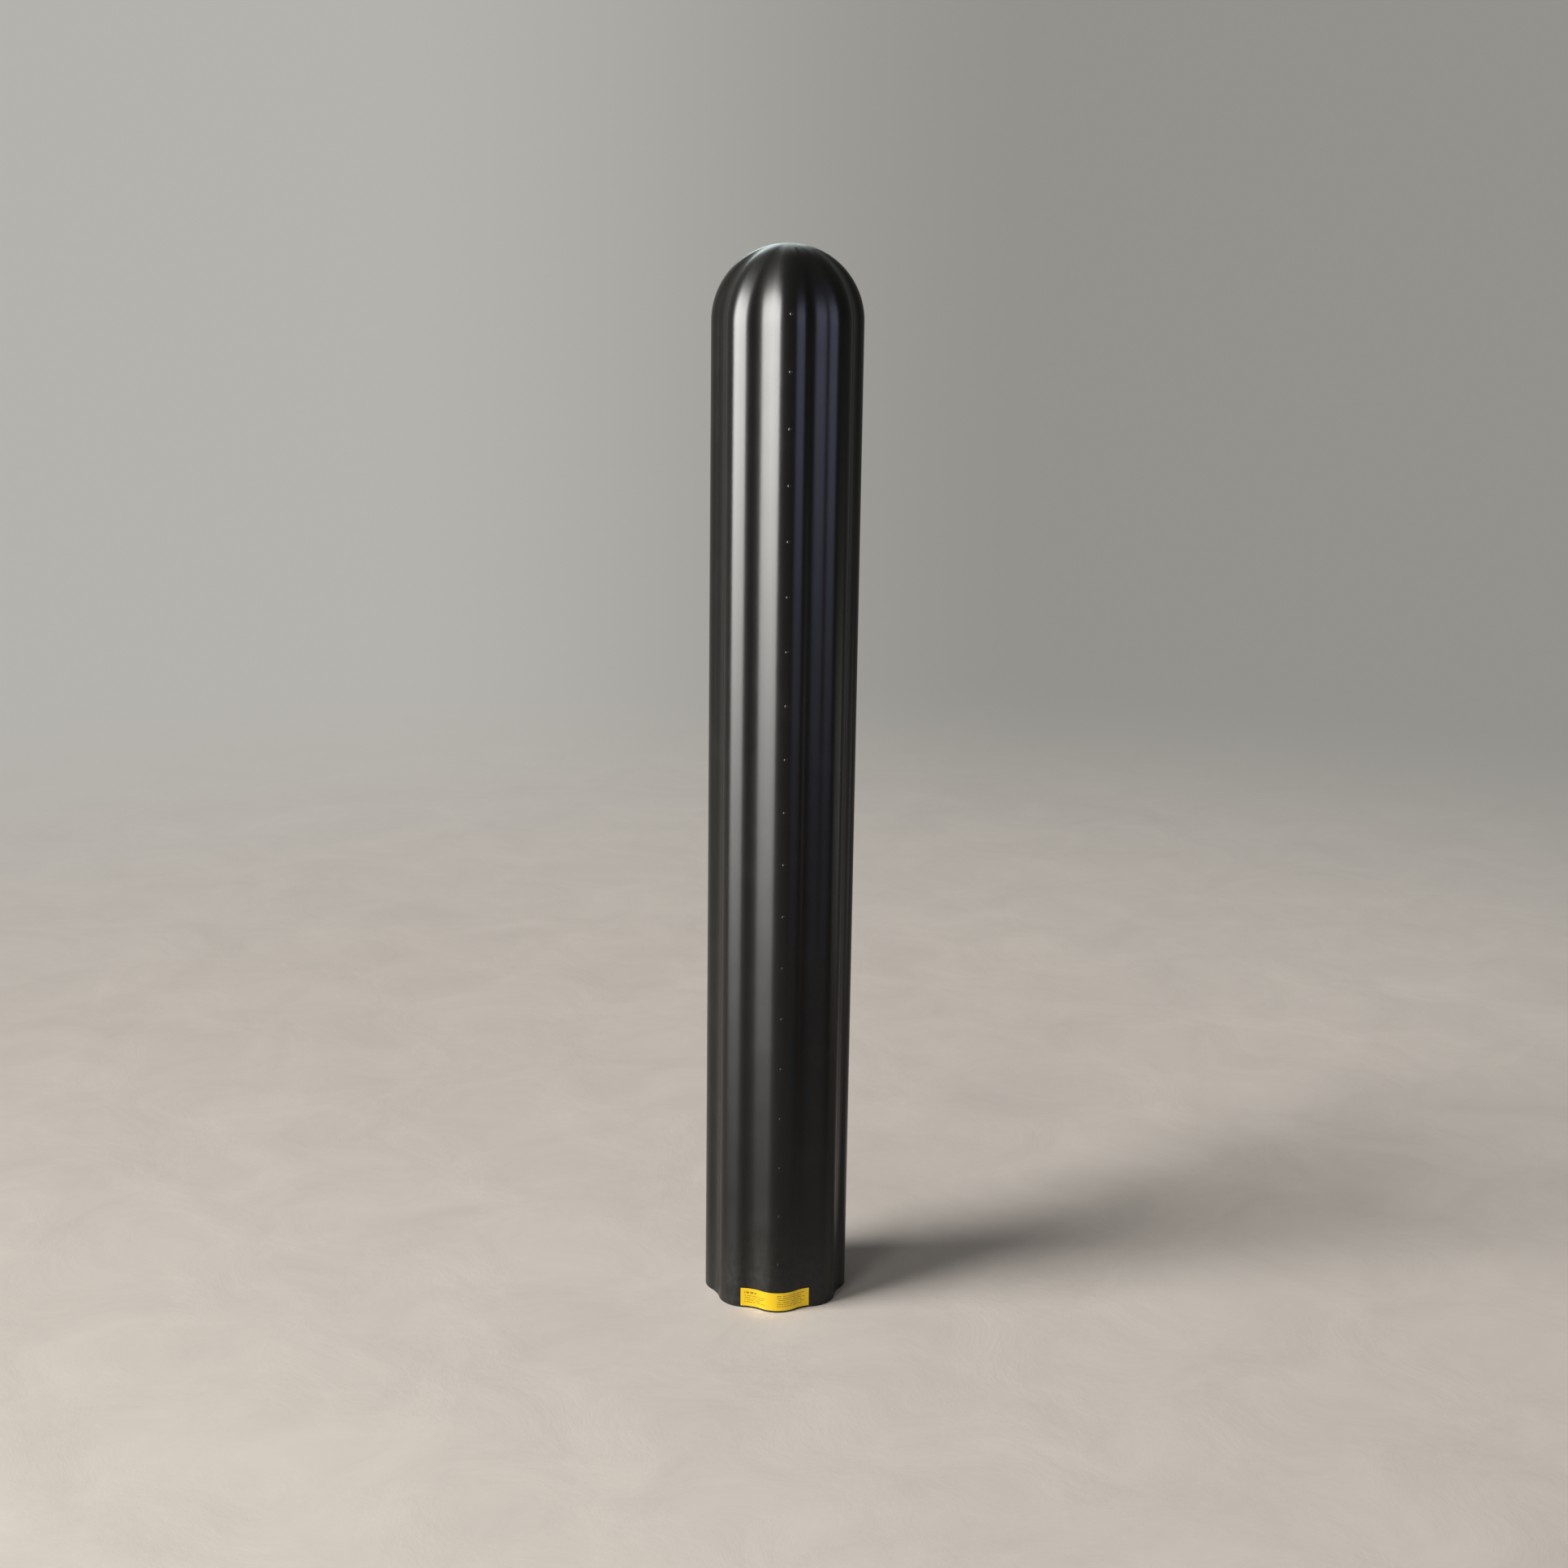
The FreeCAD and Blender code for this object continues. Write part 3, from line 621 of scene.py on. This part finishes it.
@built_once
def zinc_plate():
    """Bright zinc plate on machined fasteners."""
    made, tree, shader, place = new_material("bright_zinc_plate", Metallic=1.0)
    grain = place_group(tree, grain_group, place, Grains=1300.0, Swells=120.0)
    wear = place_group(tree, wear_group, place, Amount=0.7)
    base = map_range(tree, grain["Tone"], 0.3, 0.7, 0.22, 0.34)
    tone = mix_colour(tree, grain["Tone"], (0.60, 0.61, 0.57), (0.74, 0.73, 0.66))
    wire(shader, Base_Color=tone, Roughness=add_shares(tree, base, (wear["Scuffs"], 0.15)),
         Normal=bump(tree, grain["Height"], 0.15, 0.0001))
    return made


@built_once
def rubber():
    """Black rubber sheet with a bloom."""
    return grained_material("black_gasket_rubber", (0.016, 0.016, 0.016),
                            (0.045, 0.044, 0.042), (0.6, 0.8), (0.3, 0.0002),
                            1500.0, 35.0, Specular_IOR_Level=0.35)


@built_once
def foam_tape():
    """Charcoal closed-cell foam, its cut cells showing."""
    made, tree, shader, place = new_material("charcoal_foam_tape", Specular_IOR_Level=0.25)
    grain = place_group(tree, grain_group, place, Grains=600.0, Swells=50.0)
    cells = add_node(tree, "TexVoronoi", feature="SMOOTH_F1", Vector=place, Scale=850.0,
                     Smoothness=0.4).outputs["Distance"]
    pores = bump(tree, cells, 0.8, 0.0006)
    wire(shader, Base_Color=mix_colour(tree, cells, (0.013, 0.013, 0.014), (0.06, 0.06, 0.062)),
         Roughness=map_range(tree, grain["Tone"], 0.3, 0.7, 0.82, 0.95),
         Normal=bump(tree, grain["Height"], 0.3, 0.0006, Normal=pores))
    return made


# --- Fluted outline ---
class Flutes:
    """Arcs of the fluted outline at an inset from the outside skin."""

    def __init__(self, sizes, inset):
        half = math.pi / sizes.lobes
        crest = sizes.crest_radius
        root = crest - sizes.flute_depth
        nose = sizes.nose_radius
        centre = crest - nose
        top = nose ** 2 - centre ** 2 - root ** 2 + 2 * centre * root * math.cos(half)
        flute = top / (2 * (root - centre * math.cos(half) - nose))
        flute_centre = root + flute
        across = flute_centre * math.sin(half)
        along = flute_centre * math.cos(half) - centre
        self.lobes = sizes.lobes
        self.crest = crest - inset
        self.first_step = 4.4 * MM / nose
        self.nose_centre = Vector((0, -centre, 0))
        self.nose_lean = math.atan2(across, along)
        self.flute_centre = Vector((across, -flute_centre * math.cos(half), 0))
        self.flute_sweep = self.nose_lean - half


def outline_ring(name, sizes, inset, height):
    """The closed fluted outline as a loop of edges, drawn arc by arc from the front crest.

    The first step on the nose reaches just past a pip, and the rest of each arc is even.
    """
    arcs = Flutes(sizes, inset)
    ring = start_piece(name, bpy.ops.mesh.primitive_plane_add, size=MM,
                       location=(0, -arcs.crest, height))
    bpy.ops.mesh.merge(type="CENTER")
    for steps, turn, centre in ((1, arcs.first_step, arcs.nose_centre),
                                (12, arcs.nose_lean - arcs.first_step, arcs.nose_centre),
                                (9, -arcs.flute_sweep, arcs.flute_centre)):
        bpy.ops.mesh.spin(steps=steps, angle=-turn, center=centre, axis=(0, 0, 1))
    select_all()
    bpy.ops.mesh.duplicate()
    scale_about(ORIGIN, -1, 1)
    select_all()
    bpy.ops.mesh.remove_doubles(threshold=TINY)
    bpy.ops.mesh.spin(steps=arcs.lobes, dupli=True, angle=math.tau, center=ORIGIN,
                      axis=(0, 0, 1))
    select_all()
    bpy.ops.mesh.remove_doubles(threshold=TINY)
    return ring


def close_dome(foot, radius, angles):
    """Carry the ring over a melon dome: each row is the same outline, shrunk."""
    last = 0.0
    for climb in angles:
        extrude_up(radius * (math.sin(climb) - math.sin(last)))
        shrink = math.cos(climb) / math.cos(last)
        scale_about((0, 0, foot), shrink, shrink)
        last = climb
    extrude_up(radius * (1 - math.sin(last)))
    bpy.ops.mesh.merge(type="CENTER")
    mesh = bmesh.from_edit_mesh(bpy.context.object.data)
    apex = next(vertex for vertex in mesh.verts if vertex.select)
    apex.co.z = foot + radius - TINY
    edit_mode(False)


def pip_heights(sizes):
    """Heights of the trim pips, up to one pitch below the top."""
    count = int((sizes.height - sizes.pip_pitch) / sizes.pip_pitch)
    return [sizes.pip_pitch * (index + 1) for index in range(count)]


def wall_levels(sizes, foot):
    """Rows of the outside wall: one at each pip and one just above and below it."""
    margin = 1.7 * sizes.pip_radius
    levels = [height + step for height in pip_heights(sizes) for step in (-margin, 0, margin)]
    return [level for level in levels if level < foot - margin] + [foot]


def dome_angles(sizes, foot):
    """Rows of the dome, fine enough for a smooth shoulder, with a row at the top pip."""
    step, count = math.radians(2.5), 34
    rows = [step * (index + 1) for index in range(count)]
    for height in pip_heights(sizes):
        if height > foot:
            at_pip = math.asin((height - foot) / sizes.crest_radius)
            rows = [row for row in rows if abs(row - at_pip) > 0.4 * step] + [at_pip]
    return sorted(rows)


def trim_pip(name, sizes, foot, height):
    """A low round pip, standing square to the skin on the front crest."""
    radius, rise, sunk = sizes.pip_radius, sizes.pip_rise, 0.7 * MM
    piece = start_piece(name, bpy.ops.mesh.primitive_cylinder_add, vertices=28, radius=radius,
                        depth=sunk, location=(0, 0, -sunk / 2))
    select_where(piece, "FACE", lambda face: face.normal.z > 0.9)
    ball = (radius ** 2 + rise ** 2) / (2 * rise)
    last_share, last_height = 1, 0.0
    for share in (0.93, 0.8, 0.6, 0.35):
        level = math.sqrt(ball ** 2 - (radius * share) ** 2) - (ball - rise)
        extrude_up(level - last_height)
        scale_about(ORIGIN, share / last_share, share / last_share)
        last_share, last_height = share, level
    bpy.ops.mesh.poke(offset=rise - last_height)
    edit_mode(False)
    tilt = math.asin((height - foot) / sizes.crest_radius) if height > foot else 0.0
    skin = Vector((0, -sizes.crest_radius * math.cos(tilt), height))
    piece.data.transform(Matrix.Translation(skin) @ Matrix.Rotation(math.pi / 2 - tilt, 4, "X"))
    return piece


# --- Pieces, each with its operator ---
def close_rim(cover, sizes):
    """Join the two skins at the floor and round both edges of the cut."""
    edit_mode(True)
    select_where(cover, "EDGE", lambda edge: edge.is_boundary)
    bpy.ops.mesh.bridge_edge_loops()
    select_all()
    bpy.ops.mesh.normals_make_consistent(inside=False)
    select_where(cover, "EDGE", lambda edge: all(abs(v.co.z) < TINY for v in edge.verts)
                 and sum(abs(face.normal.z) < 0.5 for face in edge.link_faces) == 1)
    bpy.ops.mesh.bevel(offset=sizes.rim_round, segments=3, affect="EDGES")
    edit_mode(False)


def line_inside(cover, foot):
    """Give the faces that look at the axis the unpolished finish."""
    for face in cover.data.polygons:
        middle = face.center
        out = Vector((middle.x, middle.y, max(0.0, middle.z - foot)))
        face.material_index = int(face.normal.dot(out.normalized()) < -0.2)


class BOLLARD_OT_cover(bpy.types.Operator):
    """Model the fluted cover: two skins, the cut rim between them and the trim pips"""

    bl_idname = "bollard.cover"
    bl_label = "Fluted cover"

    def execute(self, context):
        sizes = context.scene.bollard_cover
        foot = sizes.height - sizes.crest_radius
        levels = wall_levels(sizes, foot)
        outside = outline_ring("cover_skin", sizes, 0, 0)
        for low, high in zip([0] + levels, levels):
            extrude_up(high - low)
        close_dome(foot, sizes.crest_radius, dome_angles(sizes, foot))
        inside = outline_ring("cover_lining", sizes, sizes.wall, 0)
        extrude_up(foot)
        close_dome(foot, sizes.crest_radius - sizes.wall, dome_angles(sizes, foot)[1::2])
        cover = join_pieces([outside, inside])
        close_rim(cover, sizes)
        tool = join_pieces([trim_pip(f"trim_pip_{index}", sizes, foot, height)
                            for index, height in enumerate(pip_heights(sizes))])
        boolean_piece(cover, tool, "UNION")
        cover.name = "fluted_cover_moulding"
        stand_for(cover, "fluted_cover", "cover", "black_cover_plastic",
                  cover_outside(), cover_inside())
        line_inside(cover, foot)
        make_only_active(cover)
        shade()
        return {"FINISHED"}


def map_label(label, sizes):
    """Lay the label's own map over it, by its angle round the axis and its height."""
    layer = label.data.uv_layers.new(name="label_map")
    total = sizes.left_angle + sizes.right_angle
    for loop in label.data.loops:
        spot = label.data.vertices[loop.vertex_index].co
        across = (math.atan2(spot.x, -spot.y) + sizes.left_angle) / total
        layer.data[loop.index].uv = (across, (spot.z - sizes.bottom) / sizes.height)


class BOLLARD_OT_label(bpy.types.Operator):
    """Model the label that follows the front lobe and runs into both flutes"""

    bl_idname = "bollard.label"
    bl_label = "Label"

    def execute(self, context):
        sizes = context.scene.bollard_label
        cover_sizes = context.scene.bollard_cover
        label = outline_ring("amber_label", cover_sizes, -sizes.glue, sizes.bottom)
        extrude_up(sizes.height)
        front_only = (0, -30 * MM, 0)
        cuts = [(front_only, (0, 1, 0))]
        for end, side in ((-sizes.left_angle, -1), (sizes.right_angle, 1)):
            along = bearing_vector(math.degrees(end), 1, 0)
            cuts.append((ORIGIN, side * Vector((0, 0, 1)).cross(along)))
        for point, away in cuts:
            select_all()
            bpy.ops.mesh.bisect(plane_co=point, plane_no=away, clear_outer=True)
        select_all()
        bpy.ops.mesh.normals_make_consistent(inside=False)
        edit_mode(False)
        front = max(label.data.polygons, key=lambda face: -face.center.y)
        if front.normal.y > 0:
            label.data.flip_normals()
        modifier = label.modifiers.new("thickness", "SOLIDIFY")
        modifier.thickness = sizes.thickness
        modifier.offset = modifier.material_offset_rim = modifier.material_offset = 1
        label.data.materials.append(label_vinyl())
        label.data.materials.append(label_edge())
        bpy.ops.object.modifier_apply(modifier=modifier.name)
        map_label(label, sizes)
        shade()
        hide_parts("safety_label")
        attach(label, "cover")
        return {"FINISHED"}


class BOLLARD_OT_pipe(bpy.types.Operator):
    """Turn the post's pipe with its chamfered ends"""

    bl_idname = "bollard.pipe"
    bl_label = "Post pipe"

    def execute(self, context):
        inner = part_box("flange_weld_bead")[1].x
        post_ring("galvanised_post_pipe", "post_pipe", inner, 1.0 * MM, 160,
                  "galvanised_steel", galvanised())
        return {"FINISHED"}


def flange_weld():
    """A fillet weld all round, its face rippled where the torch moved on."""
    low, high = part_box("flange_weld_bead")
    leg = high.z - low.z
    bead = upright_section("flange_weld", high.x - leg, high.x, low.z, high.z)
    select_where(bead, "VERT", lambda v: v.co.x < high.x - leg / 2 and v.co.z > low.z + leg / 2)
    sink = 0.36 * leg
    bpy.ops.transform.translate(value=(sink, 0, -sink))
    select_all()
    spin_section(bead, 720)
    ripples, wander, ripple_depth = 90, 7, 0.0045
    free_side = high.x - 0.05 * leg
    for vertex in bead.data.vertices:
        spot = vertex.co
        if spot.xy.length < free_side and spot.z > low.z + TINY:
            turn = math.atan2(spot.y, spot.x)
            ripple = abs(math.sin(turn * ripples + 0.6 * math.sin(turn * wander)))
            vertex.co.xy *= 1 - ripple_depth * ripple
    make_only_active(bead)
    shade(60)
    stand_for(bead, "flange_weld_bead", "post", "weld_metal", weld_metal())


class BOLLARD_OT_foot(bpy.types.Operator):
    """Model the ring flange in the pipe's foot and the rippled weld that holds it"""

    bl_idname = "bollard.foot"
    bl_label = "Foot flange and weld"

    def execute(self, context):
        low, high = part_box("base_flange")
        conduit_radius, anchor_circle, anchor_radius = 31 * MM, 54 * MM, 9 * MM
        flange = turned_ring("ring_flange", conduit_radius, high.x, low.z, high.z, 0.8 * MM, 128)
        drills = []
        for index in range(4):
            place = bearing_vector(90 * index, anchor_circle, high.z / 2)
            drills.append(start_piece(f"anchor_drill_{index}", bpy.ops.mesh.primitive_cylinder_add,
                                      vertices=48, radius=anchor_radius, depth=2 * high.z,
                                      location=place))
            edit_mode(False)
        boolean_piece(flange, join_pieces(drills), "DIFFERENCE")
        shade(35)
        stand_for(flange, "base_flange", "post", "galvanised_steel", galvanised())
        flange_weld()
        return {"FINISHED"}


class BOLLARD_OT_crossbar(bpy.types.Operator):
    """Finish the crossbar, its nut and their welds, which stay as they are"""

    bl_idname = "bollard.crossbar"
    bl_label = "Crossbar and nut"

    def execute(self, context):
        for finish, nodes in ((galvanised(), ("cap_crossbar", "cap_spigot_ring")),
                              (weld_metal(), ("crossbar_weld_beads", "nut_weld_beads",
                                              "spigot_weld_bead")),
                              (zinc_plate(), ("crossbar_nut",))):
            for node in nodes:
                for place in frame["nodes"][node].material_slots:
                    place.material = finish
        return {"FINISHED"}


class BOLLARD_OT_cap(bpy.types.Operator):
    """Turn the steel cap and the rubber ring under it"""

    bl_idname = "bollard.cap"
    bl_label = "Cap and gasket"

    def execute(self, context):
        bolt_hole = 9 * MM
        post_ring("post_cap", "cap_plate", bolt_hole, 1.6 * MM, 160, "galvanised_steel",
                  galvanised())
        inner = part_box("cap_spigot_ring")[1].x + 0.5 * MM
        post_ring("cap_gasket_ring", "cap_gasket", inner, 0.7 * MM, 128, "black_rubber",
                  rubber())
        return {"FINISHED"}


def threaded_shank(bottom, top):
    """An M16 shank with ridges at the thread's pitch along its lower part."""
    radius, core, point, turns = 8 * MM, 6.9 * MM, 0.5 * MM, 19
    ridge = radius - 0.15 * MM
    piece = start_piece("shank", bpy.ops.mesh.primitive_cylinder_add, vertices=48,
                        radius=core, depth=point, location=(0, 0, bottom + point / 2))
    select_where(piece, "FACE", lambda face: face.normal.z > 0.9)
    thread = [(ridge, 0.85 * MM), (ridge, 0.25 * MM), (core, 0.75 * MM), (core, 0.15 * MM)]
    height, reach = bottom + point, core
    for target, rise in thread * turns + [(radius, 1.2 * MM)]:
        extrude_up(rise)
        scale_about(ORIGIN, target / reach, target / reach)
        reach = target
        height += rise
    extrude_up(top - height)
    edit_mode(False)
    return piece


def hexagon_bolt():
    """Head and shank as one solid: a hexagon with turned corners, and a ridged thread."""
    low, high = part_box("cap_bolt")
    head_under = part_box("cap_lock_washer")[1].z
    flats = high.y
    head_height = high.z - head_under
    middle = (0, 0, head_under + head_height / 2)
    head = start_piece("cap_hex_bolt", bpy.ops.mesh.primitive_cylinder_add, vertices=6,
                       radius=2 * flats / math.sqrt(3), depth=head_height, location=middle)
    edit_mode(False)
    chamfer = flats * 0.97
    turning = start_piece("head_turning", bpy.ops.mesh.primitive_cone_add, vertices=96,
                          radius1=chamfer + head_height * math.sqrt(3), radius2=chamfer,
                          depth=head_height, location=middle)
    edit_mode(False)
    boolean_piece(head, turning, "INTERSECT")
    boolean_piece(head, threaded_shank(low.z, head_under + 1 * MM), "UNION")
    shade(25)
    stand_for(head, "cap_bolt", "post", "zinc_plated_steel", zinc_plate())


class BOLLARD_OT_cap_bolt(bpy.types.Operator):
    """Model the cap's hexagon bolt with its thread, its flat washer and its spring washer"""

    bl_idname = "bollard.cap_bolt"
    bl_label = "Cap bolt and washers"

    def execute(self, context):
        hexagon_bolt()
        for name, node, inner, slit in (("flat_washer", "cap_washer", 8.5, 0),
                                        ("spring_washer", "cap_lock_washer", 8.2, 11)):
            post_ring(name, node, inner * MM, 0.35 * MM, 72, "zinc_plated_steel",
                      zinc_plate(), slit=math.radians(slit))
        return {"FINISHED"}


class BOLLARD_OT_foam(bpy.types.Operator):
    """Wrap the three strips of foam tape round the pipe, each with its butt joint at the back"""

    bl_idname = "bollard.foam"
    bl_label = "Foam rings"

    def execute(self, context):
        for seed, node in enumerate(("foam_ring_lower", "foam_ring_middle", "foam_ring_upper")):
            low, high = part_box(node)
            gap = math.radians(3.6 + 0.5 * seed)
            strip = turned_ring(f"{node}_tape", PIPE_RADIUS + 0.02 * MM, high.x, low.z, high.z,
                                1.4 * MM, 120, sweep=math.tau - gap, start=math.pi / 2 + gap / 2)
            make_only_active(strip)
            edit_mode(True)
            select_where(strip, "VERT", lambda v: high.x - 2 * MM < v.co.xy.length
                         < high.x - 0.3 * MM)
            bpy.ops.transform.vertex_random(offset=0.25 * MM, uniform=0.0, seed=seed)
            edit_mode(False)
            stand_for(strip, node, "post", "black_foam", foam_tape())
        return {"FINISHED"}


def turned_along(direction):
    """The turn that brings the upward axis along a direction."""
    return direction.to_track_quat("Z", "Y").to_matrix().to_4x4()


def lay_floor(pale):
    """A wide pale disc, thinner away from the post and dimmer on its right in mirrors."""
    floor = start_piece("studio_floor", bpy.ops.mesh.primitive_circle_add, vertices=96,
                        radius=12, fill_type="NGON")
    edit_mode(False)
    made, tree, shader, place = new_material("pale_studio_floor", Roughness=0.95,
                                             Specular_IOR_Level=0.0)
    mottle = noise(tree, place, 5.0, 8.0, 0.68, Distortion=0.6)
    soft = map_range(tree, mottle, 0.32, 0.68, 0.0, 1.0)
    tint = mix_colour(tree, soft, [0.90 * channel for channel in pale], pale)
    split = add_node(tree, "SeparateXYZ", Vector=place)
    rightwards = map_range(tree, split.outputs["X"], 0.1, 0.9, 0.0, 0.62, smooth=True)
    # Painted shade: as mirrors see it, the floor's colour goes darker towards its right.
    path = add_node(tree, "LightPath")
    dimmed = math_node(tree, "MULTIPLY", path.outputs["Is Glossy Ray"], rightwards)
    reach = add_node(tree, "VectorMath", operation="LENGTH", Vector=place)
    wire(shader, Base_Color=mix_colour(tree, dimmed, tint, BLACK),
         Normal=bump(tree, mottle, 0.35, 0.006),
         Alpha=map_range(tree, reach.outputs["Value"], 1.3, 4.5, 1.0, 0.0, smooth=True))
    set_out(tree)
    floor.data.materials.append(made)


def set_air(scene):
    """Pale air behind, dim air in reflections, and an even light for everything else."""
    scene.world = world = bpy.data.worlds.new("studio_air")
    world.use_nodes = True
    world.cycles.sampling_method = "NONE"
    tree = world.node_tree
    tree.nodes.clear()
    way = add_node(tree, "TexCoord").outputs["Generated"]
    rightwards = add_node(tree, "SeparateXYZ", Vector=way).outputs["X"]

    def air(reach, left, right):
        """Air that goes from one colour to another, left to right."""
        share = map_range(tree, rightwards, -reach[0], reach[1], 0.0, 1.0, smooth=True)
        return add_node(tree, "Background", Color=mix_colour(tree, share, left, right))

    seen = air((0.12, 0.16), (0.46, 0.447, 0.42), (0.29, 0.285, 0.265))
    mirrored = air((0.35, 0.35), (0.33, 0.32, 0.30), (0.13, 0.13, 0.122))
    felt = add_node(tree, "Background", Color=(0.135, 0.135, 0.134))
    path = add_node(tree, "LightPath").outputs
    lit = fill(add_node(tree, "MixShader"), path["Is Glossy Ray"], felt.outputs[0],
               mirrored.outputs[0])
    both = fill(add_node(tree, "MixShader"), path["Is Camera Ray"], lit, seen.outputs[0])
    add_node(tree, "OutputWorld", Surface=both)
    set_out(tree)


def glow_panel(name, brightness, tint, width, height, stand, aim_height, fade, body=None):
    """A glowing panel that only shows in reflections, dimmer towards its lower edge.

    It stands at a bearing, distance and height, faces the post and fades between two
    heights. With a body named, only that body's pieces mirror it, and others see through.
    """
    spot = bearing_vector(*stand)
    item = start_piece(name, bpy.ops.mesh.primitive_plane_add, size=1)
    scale_about(ORIGIN, width, height)
    edit_mode(False)
    turned = turned_along(Vector((0, 0, aim_height)) - spot)
    item.data.transform(Matrix.Translation(spot) @ turned)
    made = bpy.data.materials.new(f"{name}_glow")
    made.use_nodes = True
    tree = made.node_tree
    tree.nodes.clear()
    place = add_node(tree, "TexCoord").outputs["Object"]
    split = add_node(tree, "SeparateXYZ", Vector=place)
    share = map_range(tree, split.outputs["Z"], *fade, 0.0, 1.0)
    share = math_node(tree, "POWER", share, 1.6)
    share = map_range(tree, share, 0.0, 1.0, 0.08, 1.0)
    glow = add_node(tree, "Emission", Strength=brightness,
                    Color=mix_colour(tree, share, BLACK, tint))
    clear = add_node(tree, "BsdfTransparent")
    both = fill(add_node(tree, "AddShader"), glow.outputs[0], clear.outputs[0])
    add_node(tree, "OutputMaterial", Surface=both)
    set_out(tree)
    item.data.materials.append(made)
    if body:
        item.light_linking.receiver_collection = pieces_on(body)
    item.visible_camera = item.visible_diffuse = item.visible_shadow = False


def set_panels(studio):
    """The panels that show in reflections."""
    warm = (1.0, 0.99, 0.965)
    glow_panel("left_softbox", studio.softbox, warm, 1.47, 2.45,
               (-64.5, 1.55, 1.24), 1.24, (0.0, 1.3), body="cover")
    glow_panel("post_softbox", studio.post_softbox, warm, 1.2, 2.45,
               (-64.5, 1.5, 1.24), 1.24, (-1.0, 0.0), body="post")
    glow_panel("right_cool_panel", studio.cool_panel, (0.64, 0.68, 1.0), 1.33, 2.0,
               (39.5, 2.4, 1.42), 1.3, (0.35, 1.25), body="cover")
    glow_panel("right_low_board", studio.low_board, (1.0, 1.0, 0.9), 1.3, 0.6,
               (92, 2.0, 0.28), 0.28, (-1.0, 0.0))
    glow_panel("hair_light", studio.hair_light, (0.86, 1.0, 0.99), 1.35, 1.6,
               (-177, 3.2, 2.95), 1.5, (-1.0, 0.0))


def add_lamp(scene, name, kind, strength, tint, spot):
    """A lamp that shines from a spot towards the post's foot, and that no mirror shows."""
    data = bpy.data.lights.new(name, kind)
    data.energy = strength
    data.color = tint
    lamp = bpy.data.objects.new(name, data)
    scene.collection.objects.link(lamp)
    lamp.matrix_world = Matrix.Translation(spot) @ turned_along(spot)
    lamp.visible_glossy = False
    return lamp


def set_lamps(scene, studio):
    """A soft key light that casts the shadow, and two soft fills on the floor."""
    key = add_lamp(scene, "key_light", "SUN", studio.key_strength, (1.0, 0.985, 0.955),
                   bearing_vector(-71, 1, 1))
    key.data.angle = studio.key_softness
    for name, power, size, spot in (
            ("left_wash", studio.wash_power, 1.6, Vector((-2.1, -0.9, 2.1))),
            ("front_fill", studio.front_power, 0.9, Vector((-1.5, -2.6, 1.0)))):
        lamp = add_lamp(scene, name, "AREA", power, (1.0, 0.97, 0.93), spot)
        lamp.data.shape = "DISK"
        lamp.data.size = size
        lamp.visible_camera = False


def set_camera(scene, studio):
    """The camera, looking slightly down at the post from the front."""
    data = bpy.data.cameras.new("studio_camera")
    data.lens = studio.lens
    data.sensor_width = 36
    camera = bpy.data.objects.new("studio_camera", data)
    scene.collection.objects.link(camera)
    spot = Vector((studio.camera_aside, -studio.camera_distance, studio.camera_height))
    round_post = Matrix.Rotation(studio.camera_turn, 4, "Z")
    look = Matrix.Rotation(math.pi / 2 - studio.camera_pitch, 4, "X")
    lean = Matrix.Rotation(studio.camera_roll, 4, "Z")
    camera.matrix_world = round_post @ Matrix.Translation(spot) @ look @ lean
    scene.camera = camera


class BOLLARD_OT_stage(bpy.types.Operator):
    """Lay the pale floor and set the studio lights, the air and the camera"""

    bl_idname = "bollard.stage"
    bl_label = "Studio stage"

    def execute(self, context):
        studio = context.scene.bollard_studio
        lay_floor(context.scene.bollard_colours.floor)
        set_air(context.scene)
        set_panels(studio)
        set_lamps(context.scene, studio)
        set_camera(context.scene, studio)
        context.scene.view_settings.view_transform = "Standard"
        return {"FINISHED"}


class BOLLARD_PT_panel(bpy.types.Panel):
    """Lists the bollard's pieces and the stage"""

    bl_idname = "BOLLARD_PT_panel"
    bl_label = "Fluted Safety Bollard"
    bl_space_type = "VIEW_3D"
    bl_region_type = "UI"
    bl_category = "Bollard"

    def draw(self, context):
        for operator in STEPS:
            self.layout.operator(operator.bl_idname)


STEPS = (BOLLARD_OT_cover, BOLLARD_OT_label, BOLLARD_OT_pipe, BOLLARD_OT_foot,
         BOLLARD_OT_crossbar, BOLLARD_OT_cap, BOLLARD_OT_cap_bolt, BOLLARD_OT_foam,
         BOLLARD_OT_stage)
GROUPS = {"bollard_cover": CoverSizes, "bollard_label": LabelSizes,
          "bollard_colours": BollardColours, "bollard_studio": StudioSizes}


def register():
    """Register the property groups, the operators and the panel."""
    for name, group in GROUPS.items():
        bpy.utils.register_class(group)
        setattr(bpy.types.Scene, name, PointerProperty(type=group))
    for item in (*STEPS, BOLLARD_PT_panel):
        bpy.utils.register_class(item)


def unregister():
    """Undo register."""
    for item in (BOLLARD_PT_panel, *reversed(STEPS)):
        bpy.utils.unregister_class(item)
    for name, group in GROUPS.items():
        delattr(bpy.types.Scene, name)
        bpy.utils.unregister_class(group)


def main():
    """Build every piece and the stage."""
    register()
    for step in STEPS:
        area, action = step.bl_idname.split(".")
        getattr(getattr(bpy.ops, area), action)()


if __name__ == "__main__":
    main()
